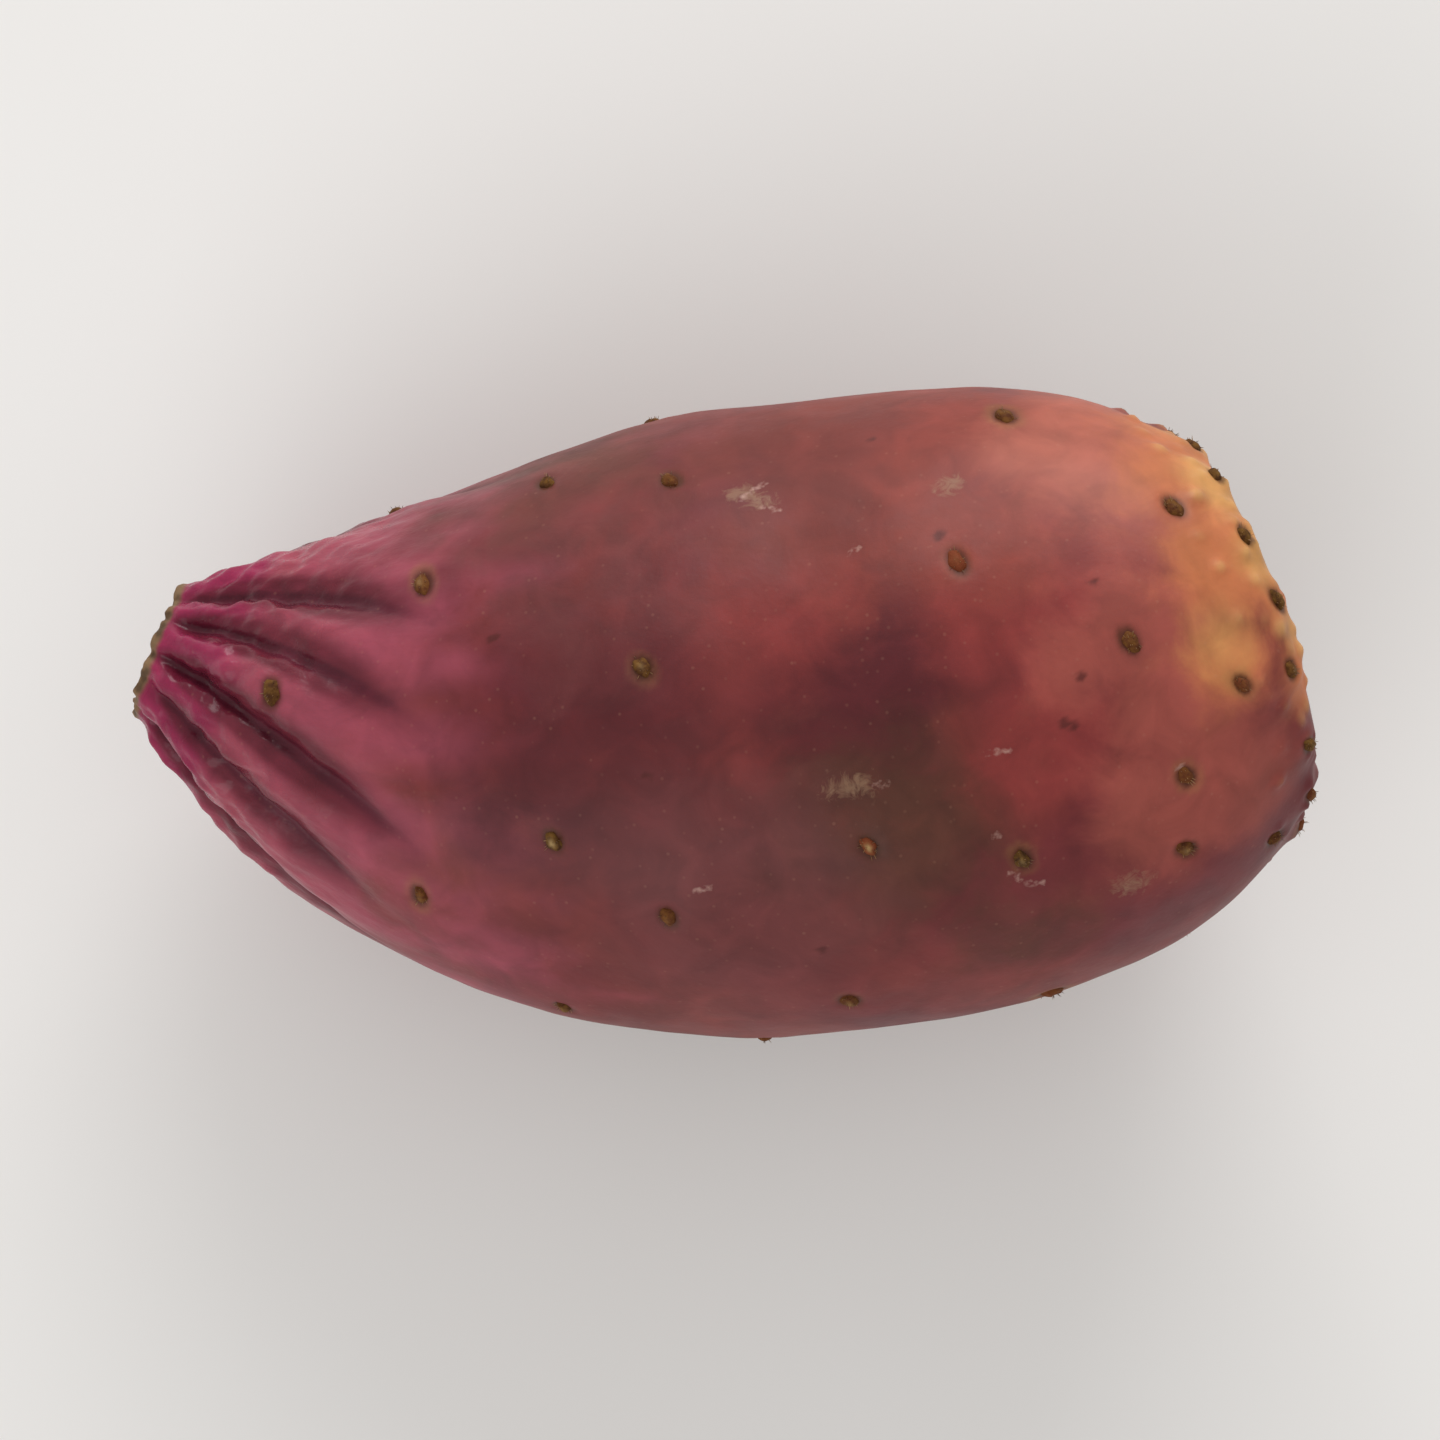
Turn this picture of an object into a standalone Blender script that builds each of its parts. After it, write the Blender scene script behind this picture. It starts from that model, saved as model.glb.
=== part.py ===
"""Prickly pear fruit, picked and lying on its side: one closed skin with its areoles grown into it.

Metres, +Z up, origin on the surface it rests on, under the middle of the fruit. The narrow stem end
points to -X, the flower end to +X, and the bulging side of the bend to -Y. The shape is worked in
millimetres and scaled to metres at the end.
"""
import bisect
import functools
import math
import random

import bmesh
import bpy
from mathutils import Matrix, Vector

MILLIMETRE = 0.001
SEED = 11

# Driving dimensions, in millimetres and degrees.
LENGTH = 94.0
BEND = math.radians(35.0)
NECK_SWEEP = 2.0
NECK_REACH = 34.0
END_SLANT = math.radians(16.0)
SLANT_FROM = 74.0
SQUASH = 0.03
LUMP = 0.012
PITCH = Matrix.Rotation(math.radians(-4.0), 3, "Y")
REST_PRESS = 0.8
REST_BLEND = 0.25

# Half outline, as distance along the fruit and radius: the hollow stem scar, the neck, the belly,
# the shoulder, the crest of the crown and the dish that the flower left.
OUTLINE = (
    (1.5, 0.0), (1.3, 3.0), (0.5, 4.9), (0.0, 5.6), (0.8, 6.4),
    (4.0, 9.2), (12.0, 14.7), (22.0, 19.6), (34.0, 23.7), (47.0, 26.3), (59.0, 26.8),
    (70.0, 26.4), (79.0, 24.9), (86.5, 21.9), (91.3, 17.9), (93.5, 15.0), (94.0, 13.4),
    (92.9, 11.7), (90.2, 10.1), (88.2, 7.6), (87.6, 4.0), (88.0, 0.0),
)
SCAR_RIM_POINT = 3
CREST_POINT = 16
SIDES = 72
RING_GAP = 3.0
SIDE_STEP = 0.5

# Lengthwise folds of the neck: each is a groove that starts near the stem scar and runs out along
# the fruit, turning as it goes. Its spread is an angle, so it widens with the fruit.
FOLDS = 12
FOLD_DEPTH = (0.9, 1.7)
FOLD_SPREAD = math.radians(8.5)
FOLD_REACH = (20.0, 38.0)
FOLD_RAMP = (-1.0, 5.0)
FOLD_TWIST = math.radians(-1.2)

# Areoles that show in the photograph: distance along the fruit, angle round it from the top towards
# +Y in degrees, and width. Within the seen span and angles there are no others.
SEEN_AREOLES = (
    (78.7, 61.2, 2.6), (87.9, 31.0, 2.4), (72.4, 25.3, 2.6), (82.4, 2.5, 2.4), (88.2, -15.2, 2.0),
    (61.1, -24.6, 2.2), (72.4, -33.6, 2.2), (36.4, -22.0, 2.2), (26.0, -44.2, 2.2),
    (83.5, -28.8, 2.0), (82.6, -45.5, 2.2), (46.5, 54.0, 2.2), (44.0, 12.0, 2.2),
)
SEEN_SPAN = (47.0, 91.0)
SEEN_ANGLES = (math.radians(-62.0), math.radians(102.0))
AREOLE_WIDTH = 2.4
AREOLE_HEIGHT = 0.6
AREOLE_GAP = 9.0
FLOOR_CLEARANCE = 2.0

# The rest of the areoles, in a golden-angle spiral that crowds towards the flower end.
SPIRAL_COUNT = 46
SPIRAL_START = 10.0
SPIRAL_END = 89.0
SPIRAL_STEP = 0.2
CROWDING = 0.8
CROWDS_FROM = 70.0
GOLDEN_ANGLE = math.radians(137.508)

# The ring of areoles on the crown.
CROWN_AREOLES = 17
CROWN_AT = 92.2
CROWN_GAP = 4.2

# Low mounds of skin under the areoles, as height and spread.
BODY_MOUND = (0.4, 4.6)
CROWN_MOUND = (0.8, 1.9)

SKIN_COLOUR = (0.33, 0.07, 0.075, 1.0)
SKIN_ROUGHNESS = 0.42
SHARP_ANGLE = math.radians(40.0)


def ramp(value, start, end):
    """Smooth step from 0 at start to 1 at end."""
    t = min(max((value - start) / (end - start), 0.0), 1.0)
    return t * t * (3.0 - 2.0 * t)


def outline_tangent(points, index):
    """Unit heading of the smooth outline where it passes through one of its points."""
    before = points[max(index - 1, 0)]
    here = points[index]
    after = points[min(index + 1, len(points) - 1)]
    to_here = here - before
    to_next = after - here
    if to_here.length == 0.0:
        return to_next.normalized()
    if to_next.length == 0.0:
        return to_here.normalized()
    heading = to_here.normalized() * to_next.length + to_next.normalized() * to_here.length
    return heading / (to_here.length + to_next.length)


def smooth_outline(gap):
    """The outline as a smooth curve, with a point about every gap along it."""
    points = [Vector(point) for point in OUTLINE]
    curve = []
    for index in range(len(points) - 1):
        start = points[index]
        end = points[index + 1]
        span = (end - start).length
        leave = outline_tangent(points, index) * span
        arrive = outline_tangent(points, index + 1) * span
        steps = max(1, round(span / gap))
        for step in range(steps):
            t = step / steps
            pull = start * (2 * t**3 - 3 * t**2 + 1) + end * (3 * t**2 - 2 * t**3)
            curve.append(pull + leave * (t**3 - 2 * t**2 + t) + arrive * (t**3 - t**2))
    curve.append(points[-1])
    return curve


@functools.cache
def side_curve():
    """The part of the outline from the rim of the stem scar to the crest of the crown, finely."""
    curve = smooth_outline(SIDE_STEP)
    start = curve.index(Vector(OUTLINE[SCAR_RIM_POINT]))
    end = curve.index(Vector(OUTLINE[CREST_POINT]))
    return curve[start:end + 1]


def side_radius(axial):
    """Radius of the outside of the fruit at a distance along it."""
    side = side_curve()
    index = bisect.bisect_left(side, axial, 1, len(side) - 1, key=lambda point: point.x)
    before = side[index - 1]
    after = side[index]
    return before.y + (after.y - before.y) * (axial - before.x) / (after.x - before.x)


def spine(axial):
    """Middle of the fruit at a distance along it, and its sideways direction there."""
    turn = (axial / LENGTH - 0.5) * BEND
    arc_radius = LENGTH / BEND
    swept = max(0.0, 1.0 - axial / NECK_REACH)
    middle = Vector((arc_radius * math.sin(turn), arc_radius * (1.0 - math.cos(turn)), 0.0))
    middle.y += NECK_SWEEP * swept**2
    heading = turn - 2.0 * NECK_SWEEP / NECK_REACH * swept
    return middle, Vector((-math.sin(heading), math.cos(heading), 0.0))


def make_folds():
    """Angle, reach and depth of each neck fold, spaced unevenly round the neck."""
    dice = random.Random(SEED)
    folds = []
    for number in range(FOLDS):
        angle = math.tau * (number + dice.uniform(-0.3, 0.3)) / FOLDS
        folds.append((angle, dice.uniform(*FOLD_REACH), dice.uniform(*FOLD_DEPTH)))
    return folds


def fold_depth(folds, axial, angle):
    """How far the neck folds draw the skin in."""
    drawn_in = 0.0
    for fold_angle, reach, depth in folds:
        away = angle - fold_angle - FOLD_TWIST * axial
        away = (away + math.pi) % math.tau - math.pi
        fade = ramp(axial, *FOLD_RAMP) * (1.0 - ramp(axial, 0.4 * reach, reach))
        drawn_in += depth * fade * math.exp(-((away / FOLD_SPREAD) ** 2))
    return drawn_in


def skin_point(folds, axial, radius, angle):
    """Point of the bent fruit for a distance along it, a radius and an angle round it."""
    belly = math.sin(math.pi * min(max(axial / LENGTH, 0.0), 1.0))
    section = 1.0 - SQUASH * math.cos(angle) ** 2
    section += LUMP * belly * math.sin(3.0 * angle + 0.05 * axial)
    reach = radius * section
    if radius > OUTLINE[SCAR_RIM_POINT - 1][1] and axial < FOLD_REACH[1]:
        reach -= fold_depth(folds, axial, angle)
    slant = math.tan(END_SLANT) * ramp(axial, SLANT_FROM, LENGTH)
    middle, sideways = spine(axial)
    forward = Vector((sideways.y, -sideways.x, 0.0))
    point = middle + sideways * (reach * math.sin(angle))
    point += Vector((0.0, 0.0, reach * math.cos(angle)))
    point += forward * (slant * reach * math.cos(angle))
    return PITCH @ point


def skin_normal(folds, axial, radius, angle):
    """Outward direction of the side of the fruit, from its slopes along and round it."""
    small = SIDE_STEP
    ahead = skin_point(folds, axial + small, side_radius(axial + small), angle)
    behind = skin_point(folds, axial - small, side_radius(axial - small), angle)
    left = skin_point(folds, axial, radius, angle + small / radius)
    right = skin_point(folds, axial, radius, angle - small / radius)
    return (ahead - behind).cross(left - right).normalized()


def spiral_places():
    """Distance and angle of the spiral's areoles, each with about the same share of the skin."""
    steps = round((SPIRAL_END - SPIRAL_START) / SPIRAL_STEP)
    stations = [SPIRAL_START + SPIRAL_STEP * step for step in range(steps)]
    crowds = [1.0 + CROWDING * ramp(axial, CROWDS_FROM, SPIRAL_END) for axial in stations]
    weights = [side_radius(axial) * crowd for axial, crowd in zip(stations, crowds)]
    places = []
    covered = 0.0
    for axial, weight in zip(stations, weights):
        covered += SPIRAL_COUNT * weight / sum(weights)
        if covered >= len(places) + 0.5:
            places.append((axial, -GOLDEN_ANGLE * len(places)))
    return places


def areole(folds, axial, angle, width, mound):
    """One areole: where it sits on the skin, which way it faces, its width and its mound."""
    radius = side_radius(axial)
    seat = skin_point(folds, axial, radius, angle)
    return seat, skin_normal(folds, axial, radius, angle), width, mound


def on_seen_side(axial, angle):
    """Whether a place is on the part of the skin whose areoles all show in the photograph."""
    turned = (angle + math.pi) % math.tau - math.pi
    start, end = SEEN_SPAN
    return start < axial < end and SEEN_ANGLES[0] < turned < SEEN_ANGLES[1]


def nearest(grown, areoles):
    """Distance from one areole to the closest of the others."""
    return min((grown[0] - other[0]).length for other in areoles)


def place_areoles(folds):
    """The areoles seen, the spiral that fills the rest of the skin, and the ring on the crown."""
    dice = random.Random(SEED + 1)
    areoles = []
    for axial, degrees, width in SEEN_AREOLES:
        areoles.append(areole(folds, axial, math.radians(degrees), width, BODY_MOUND))
    for axial, angle in spiral_places():
        angle += dice.uniform(-1.5, 1.5) / side_radius(axial)
        grown = areole(folds, axial + dice.uniform(-1.0, 1.0), angle,
                       AREOLE_WIDTH * dice.uniform(0.85, 1.15), BODY_MOUND)
        if nearest(grown, areoles) > AREOLE_GAP and not on_seen_side(axial, angle):
            areoles.append(grown)
    for number in range(CROWN_AREOLES):
        angle = math.tau * (number + dice.uniform(-0.15, 0.15)) / CROWN_AREOLES
        grown = areole(folds, CROWN_AT + dice.uniform(-0.5, 0.5), angle,
                       AREOLE_WIDTH * dice.uniform(0.75, 1.0), CROWN_MOUND)
        if nearest(grown, areoles) > CROWN_GAP:
            areoles.append(grown)
    return areoles


def swelling(areoles, point):
    """How far the skin stands up at a point, from the low mounds under the areoles near it."""
    rise = 0.0
    for seat, _, _, (height, spread) in areoles:
        rise += height * math.exp(-0.5 * ((point - seat).length / spread) ** 2)
    return rise


def make_skin(folds):
    """Spin the outline, bend it along the spine and fold the neck."""
    bm = bmesh.new()
    corners = [bm.verts.new((point.x, 0.0, point.y)) for point in smooth_outline(RING_GAP)]
    for start, end in zip(corners, corners[1:]):
        bm.edges.new((start, end))
    bmesh.ops.spin(bm, geom=bm.verts[:] + bm.edges[:], cent=(0, 0, 0), axis=(1, 0, 0),
                   angle=math.tau, steps=SIDES, use_merge=True)
    bmesh.ops.remove_doubles(bm, verts=bm.verts, dist=0.001)
    for vert in bm.verts:
        axial, y, z = vert.co
        vert.co = skin_point(folds, axial, math.hypot(y, z), math.atan2(y, z))
    bmesh.ops.recalc_face_normals(bm, faces=bm.faces)
    return bm


def raise_mounds(bm, areoles):
    """Push the skin out where the low mounds of the areoles are."""
    bm.normal_update()
    rises = [(vert, vert.normal * swelling(areoles, vert.co)) for vert in bm.verts]
    for vert, rise in rises:
        vert.co += rise


def press_flat(bm, floor):
    """Flatten the underside at floor level, with a soft edge, where the fruit rests."""
    for vert in bm.verts:
        height = vert.co.z - floor
        if height < -REST_BLEND:
            vert.co.z = floor
        elif height < REST_BLEND:
            vert.co.z = floor + (height + REST_BLEND) ** 2 / (4.0 * REST_BLEND)


def add_cushions(areoles, collection):
    """A small ball for each areole, sunk in the skin so that only its cap shows."""
    dice = random.Random(SEED + 2)
    for number, (seat, facing, width, _) in enumerate(areoles):
        top = seat + facing * swelling(areoles, seat)
        ball_radius = (width**2 / 4.0 + AREOLE_HEIGHT**2) / (2.0 * AREOLE_HEIGHT)
        turned = facing.to_track_quat("Z", "Y").to_matrix().to_4x4()
        turned = turned @ Matrix.Rotation(dice.uniform(0.0, math.tau), 4, "Z")
        centre = Matrix.Translation(top + facing * (AREOLE_HEIGHT - ball_radius))
        bm = bmesh.new()
        bmesh.ops.create_uvsphere(bm, u_segments=8, v_segments=6, radius=ball_radius,
                                  matrix=centre @ turned)
        add_object(f"areole_{number}", bm, collection)


def add_object(name, bm, collection):
    """Turn a bmesh into an object in a collection."""
    mesh = bpy.data.meshes.new(name)
    bm.to_mesh(mesh)
    bm.free()
    made = bpy.data.objects.new(name, mesh)
    collection.objects.link(made)
    return made


def fuse(body, collection):
    """Join the cushions to the body in one union, then remove them."""
    union = body.modifiers.new("areoles", "BOOLEAN")
    union.operation = "UNION"
    union.operand_type = "COLLECTION"
    union.collection = collection
    depsgraph = bpy.context.evaluated_depsgraph_get()
    joined = bpy.data.meshes.new_from_object(body.evaluated_get(depsgraph))
    body.modifiers.remove(union)
    body.data = joined
    for piece in list(collection.objects):
        bpy.data.objects.remove(piece)
    bpy.data.collections.remove(collection)


def stand_on_origin(mesh, floor):
    """Move the fruit over the origin, with the flat it rests on at height zero, and scale it to metres."""
    across = [[vert.co[axis] for vert in mesh.vertices] for axis in (0, 1)]
    middle = [(min(values) + max(values)) / 2.0 for values in across]
    mesh.transform(Matrix.Translation((-middle[0], -middle[1], -floor)))
    mesh.transform(Matrix.Scale(MILLIMETRE, 4))


def skin_material():
    """Waxy crimson to maroon skin."""
    material = bpy.data.materials.new("skin")
    material.use_nodes = True
    shader = material.node_tree.nodes["Principled BSDF"]
    shader.inputs["Base Color"].default_value = SKIN_COLOUR
    shader.inputs["Roughness"].default_value = SKIN_ROUGHNESS
    shader.inputs["Metallic"].default_value = 0.0
    return material


def main():
    for old in list(bpy.data.objects):
        bpy.data.objects.remove(old)
    folds = make_folds()
    skin = make_skin(folds)
    floor = min(vert.co.z for vert in skin.verts) + REST_PRESS
    areoles = [grown for grown in place_areoles(folds) if grown[0].z > floor + FLOOR_CLEARANCE]
    raise_mounds(skin, areoles)
    press_flat(skin, floor)
    fruit = add_object("prickly_pear_fruit", skin, bpy.context.scene.collection)
    cushions = bpy.data.collections.new("areoles")
    bpy.context.scene.collection.children.link(cushions)
    add_cushions(areoles, cushions)
    fuse(fruit, cushions)
    stand_on_origin(fruit.data, floor)
    fruit.data.materials.clear()
    fruit.data.materials.append(skin_material())
    fruit.data.shade_smooth()
    fruit.data.set_sharp_from_angle(angle=SHARP_ANGLE)


main()
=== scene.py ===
# %% [markdown]
# A ripe prickly pear fruit, picked and lying on its side, dressed around the solid that was built
# for it. The solid already has the fruit's size, its bend, the folds of its neck, the dish at the
# flower end and a low dome for each areole. What is left is what a hand lens and the eye would
# find: a finer skin, its colours and its wax, the felt and bristles of the areoles, and the two
# dry scars.
#
# We load the solid first and never move it. Everything below is worked in millimetres, from the
# same named sizes as the solid, and turned to metres when a mesh is made.

# %% Load the fruit that everything is built around
import math
import random

import bpy
import numpy as np
from mathutils import Matrix, Vector, noise


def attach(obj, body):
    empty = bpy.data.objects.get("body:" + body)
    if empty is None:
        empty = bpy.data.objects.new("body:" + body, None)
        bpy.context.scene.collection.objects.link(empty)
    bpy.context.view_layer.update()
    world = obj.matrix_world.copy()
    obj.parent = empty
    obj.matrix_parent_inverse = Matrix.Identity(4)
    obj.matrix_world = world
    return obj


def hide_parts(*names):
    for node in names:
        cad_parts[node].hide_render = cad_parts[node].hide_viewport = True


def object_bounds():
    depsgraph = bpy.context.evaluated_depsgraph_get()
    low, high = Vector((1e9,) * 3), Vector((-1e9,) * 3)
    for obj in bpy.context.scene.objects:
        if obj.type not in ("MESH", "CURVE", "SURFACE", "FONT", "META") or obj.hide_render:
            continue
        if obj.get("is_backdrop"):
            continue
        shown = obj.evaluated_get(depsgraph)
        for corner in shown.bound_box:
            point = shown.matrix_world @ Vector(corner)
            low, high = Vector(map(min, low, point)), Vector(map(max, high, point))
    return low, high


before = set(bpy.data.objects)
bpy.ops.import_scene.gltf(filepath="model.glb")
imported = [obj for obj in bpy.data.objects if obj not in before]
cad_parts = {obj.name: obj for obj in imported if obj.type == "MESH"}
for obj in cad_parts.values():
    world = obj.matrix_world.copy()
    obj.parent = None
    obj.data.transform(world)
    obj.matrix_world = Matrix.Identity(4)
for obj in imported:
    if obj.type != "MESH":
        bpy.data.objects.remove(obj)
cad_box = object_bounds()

NODE = "prickly_pear_fruit"
MM = 0.001

# %% [markdown]
# The fruit grew as one piece, so its skin is one closed surface. It could be sculpted, or scanned,
# but a rule is easier to read and to change: half an outline is turned round a bent spine. Each
# point of the outline is a distance along the fruit and a radius. It starts in the stem scar, runs
# over its rim, along the neck, the belly and the shoulder to the crest of the crown, and ends in
# the dish that the flower left.

# %% The outline
LENGTH = 94.0
OUTLINE = (
    (1.5, 0.0), (1.3, 3.0), (0.5, 4.9), (0.0, 5.6), (0.8, 6.4),
    (4.0, 9.2), (12.0, 14.7), (22.0, 19.6), (34.0, 23.7), (47.0, 26.3), (59.0, 26.8),
    (70.0, 26.4), (79.0, 24.9), (86.5, 21.9), (91.3, 17.9), (93.5, 15.0), (94.0, 13.4),
    (92.9, 11.7), (90.2, 10.1), (88.2, 7.6), (87.6, 4.0), (88.0, 0.0),
)
SCAR_RIM_POINT = 3
CREST_POINT = 16
SPAN_STEPS = 40


def smooth_outline():
    """A smooth curve through the outline's points, with SPAN_STEPS steps from each to the next."""
    points = np.array(OUTLINE)
    spans = np.diff(points, axis=0)
    lengths = np.linalg.norm(spans, axis=1)[:, None]
    units = spans / lengths
    inner = units[:-1] * lengths[1:] + units[1:] * lengths[:-1]
    inner /= lengths[:-1] + lengths[1:]
    headings = np.vstack([units[:1], inner, units[-1:]])
    t = np.linspace(0.0, 1.0, SPAN_STEPS, endpoint=False)[None, :, None]
    leave = points[:-1, None] * (2 * t**3 - 3 * t**2 + 1)
    arrive = points[1:, None] * (3 * t**2 - 2 * t**3)
    pull = headings[:-1, None] * (t**3 - 2 * t**2 + t) + headings[1:, None] * (t**3 - t**2)
    curve = leave + arrive + pull * lengths[:, :, None]
    return np.vstack([curve.reshape(-1, 2), points[-1:]])


outline = smooth_outline()
side = outline[SCAR_RIM_POINT * SPAN_STEPS:CREST_POINT * SPAN_STEPS + 1]


def side_radius(axial):
    """Radius of the outside of the fruit at a distance along it."""
    return np.interp(axial, side[:, 0], side[:, 1])


print("widest radius, in mm:", round(side[:, 1].max(), 1))

# %% [markdown]
# A real fruit is never straight. Its spine bends as part of a circle, because one side grew faster,
# and the neck sweeps a little further round. The spine could be a drawn curve, but two formulas
# give its middle and its directions at any distance.

# %% The bent spine
BEND = math.radians(35.0)
NECK_SWEEP = 2.0
NECK_REACH = 34.0


def ramp(value, start, end):
    """Smooth step from 0 at start to 1 at end."""
    t = np.clip((value - start) / (end - start), 0.0, 1.0)
    return t * t * (3.0 - 2.0 * t)


def spine(axial):
    """Middle of the fruit at a distance along it, and its forward and sideways directions there."""
    turn = (axial / LENGTH - 0.5) * BEND
    arc_radius = LENGTH / BEND
    swept = np.clip(1.0 - axial / NECK_REACH, 0.0, None)
    middle_y = arc_radius * (1.0 - np.cos(turn)) + NECK_SWEEP * swept**2
    middle = np.stack([arc_radius * np.sin(turn), middle_y, 0.0 * turn], axis=-1)
    heading = turn - 2.0 * NECK_SWEEP / NECK_REACH * swept
    forward = np.stack([np.cos(heading), np.sin(heading), 0.0 * turn], axis=-1)
    sideways = np.stack([-np.sin(heading), np.cos(heading), 0.0 * turn], axis=-1)
    return middle, forward, sideways


spine_ends = [spine(np.float64(end))[0].round(1).tolist() for end in (0.0, LENGTH / 2.0, LENGTH)]
print("the spine runs through, in mm:", spine_ends)

# %% [markdown]
# The neck shrinks as the fruit ripens, so its skin gathers in lengthwise folds round the stem scar.
# Grooves with a bell-shaped section give broad pleats between narrow valleys, and they turn a
# little as they run out, as the photograph shows. Their angles, reaches and depths are drawn
# unevenly, from a fixed seed, so that they fall where the solid has them.

# %% Folds of the neck
SEED = 11
FOLDS = 12
FOLD_SHIFT = 0.3
FOLD_DEPTH = (0.9, 1.7)
FOLD_SPREAD = math.radians(8.5)
FOLD_REACH = (20.0, 38.0)
FOLD_HOLDS = 0.4
FOLD_RAMP = (-1.0, 5.0)
FOLD_TWIST = math.radians(-1.2)


def make_folds():
    """Angle, reach and depth of each neck fold, spaced unevenly round the neck."""
    dice = random.Random(SEED)
    folds = []
    for number in range(FOLDS):
        angle = math.tau * (number + dice.uniform(-FOLD_SHIFT, FOLD_SHIFT)) / FOLDS
        folds.append((angle, dice.uniform(*FOLD_REACH), dice.uniform(*FOLD_DEPTH)))
    return folds


folds = make_folds()


def within_half_turn(angle):
    """The same angle, brought between minus half a turn and half a turn."""
    return (angle + math.pi) % math.tau - math.pi


def fold_profile(axial, angle, spread):
    """Sum of the folds' grooves, each with a bell-shaped section of a spread, times its depth."""
    total = np.zeros(np.broadcast(axial, angle).shape)
    for fold_angle, reach, depth in folds:
        away = within_half_turn(angle - fold_angle - FOLD_TWIST * axial)
        fade = ramp(axial, *FOLD_RAMP) * (1.0 - ramp(axial, FOLD_HOLDS * reach, reach))
        total += depth * fade * np.exp(-((away / spread) ** 2))
    return total


print("folds reach, in mm:", [round(reach) for _, reach, _ in folds])

# %% [markdown]
# Any place on the fruit is now three numbers: how far along it is, its radius, and its angle from
# the top. The section isn't round. It is a little flatter from top to bottom and slightly
# three-sided, the flower end is cut off at a slant, and the whole fruit pitches a little as it
# lies. Each of these is one small term, so each can be tuned alone.

# %% A point of the fruit
SQUASH = 0.03
LUMP = 0.012
LUMP_SIDES = 3.0
LUMP_TWIST = 0.05
END_SLANT = math.radians(16.0)
SLANT_FROM = 74.0
PITCH = np.array(Matrix.Rotation(math.radians(-4.0), 3, "Y"))


def skin_point(axial, radius, angle):
    """Point of the bent fruit for a distance along it, a radius and an angle round it."""
    belly = np.sin(math.pi * np.clip(axial / LENGTH, 0.0, 1.0))
    section = 1.0 - SQUASH * np.cos(angle) ** 2
    section = section + LUMP * belly * np.sin(LUMP_SIDES * angle + LUMP_TWIST * axial)
    on_neck = (radius > OUTLINE[SCAR_RIM_POINT - 1][1]) & (axial < FOLD_REACH[1])
    reach = radius * section - on_neck * fold_profile(axial, angle, FOLD_SPREAD)
    slant = math.tan(END_SLANT) * ramp(axial, SLANT_FROM, LENGTH)
    middle, forward, sideways = spine(axial)
    across = (reach * np.sin(angle))[..., None]
    upward = (reach * np.cos(angle))[..., None]
    point = middle + sideways * across + np.array((0.0, 0.0, 1.0)) * upward
    return (point + forward * slant[..., None] * upward) @ PITCH.T


def outside_point(axial, angle):
    """Point on the outside of the fruit, at a distance along it and an angle round it."""
    axial, angle = np.float64(axial), np.float64(angle)
    return skin_point(axial, side_radius(axial), angle)


print("top of the belly, in mm:", outside_point(LENGTH / 2.0, 0.0).round(1).tolist())

# %% [markdown]
# Areoles are the cactus's short shoots: small felted cushions that carry the bristles, each on a
# low mound of skin. Each needs a seat, and the direction that the skin faces there, which short
# steps along and round the fruit give. A mound is a height and a spread: low and broad on the body,
# steep on the crown.

# %% One areole
BODY_MOUND = (0.4, 4.6)
CROWN_MOUND = (0.8, 1.9)
NORMAL_STEP = 0.5


def skin_normal(axial, angle):
    """Outward direction of the side of the fruit, from its slopes along and round it."""
    turn = NORMAL_STEP / side_radius(axial)
    ahead = outside_point(axial + NORMAL_STEP, angle)
    behind = outside_point(axial - NORMAL_STEP, angle)
    left = outside_point(axial, angle + turn)
    right = outside_point(axial, angle - turn)
    normal = np.cross(ahead - behind, left - right)
    return normal / np.linalg.norm(normal)


def areole(axial, angle, width, mound):
    """One areole, as its place along and round the fruit, its seat, facing, width and mound."""
    return {"axial": axial, "angle": angle, "seat": outside_point(axial, angle),
            "facing": skin_normal(axial, angle), "width": width, "mound": mound}


print("the top of the belly faces:", skin_normal(LENGTH / 2.0, 0.0).round(2).tolist())

# %% [markdown]
# A cactus sets each new areole a golden angle round from the last, and that makes crossing spirals.
# The same rule fills the skin here. Steps along the fruit are weighed by its girth, so that each
# areole has about the same share of the skin, and they crowd a little towards the crown.

# %% The spiral of areoles
SPIRAL_COUNT = 46
SPIRAL_START = 10.0
SPIRAL_END = 89.0
SPIRAL_STEP = 0.2
CROWDING = 0.8
CROWDS_FROM = 70.0
GOLDEN_ANGLE = math.radians(137.508)


def spiral_places():
    """Distance and angle of the spiral's areoles, each with about the same share of the skin."""
    steps = round((SPIRAL_END - SPIRAL_START) / SPIRAL_STEP)
    stations = SPIRAL_START + SPIRAL_STEP * np.arange(steps)
    weights = side_radius(stations) * (1.0 + CROWDING * ramp(stations, CROWDS_FROM, SPIRAL_END))
    covered = SPIRAL_COUNT * np.cumsum(weights) / weights.sum()
    places = []
    for axial, share in zip(stations, covered):
        if share >= len(places) + 0.5:
            places.append((axial, -GOLDEN_ANGLE * len(places)))
    return places


print("places on the spiral:", len(spiral_places()))
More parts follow.
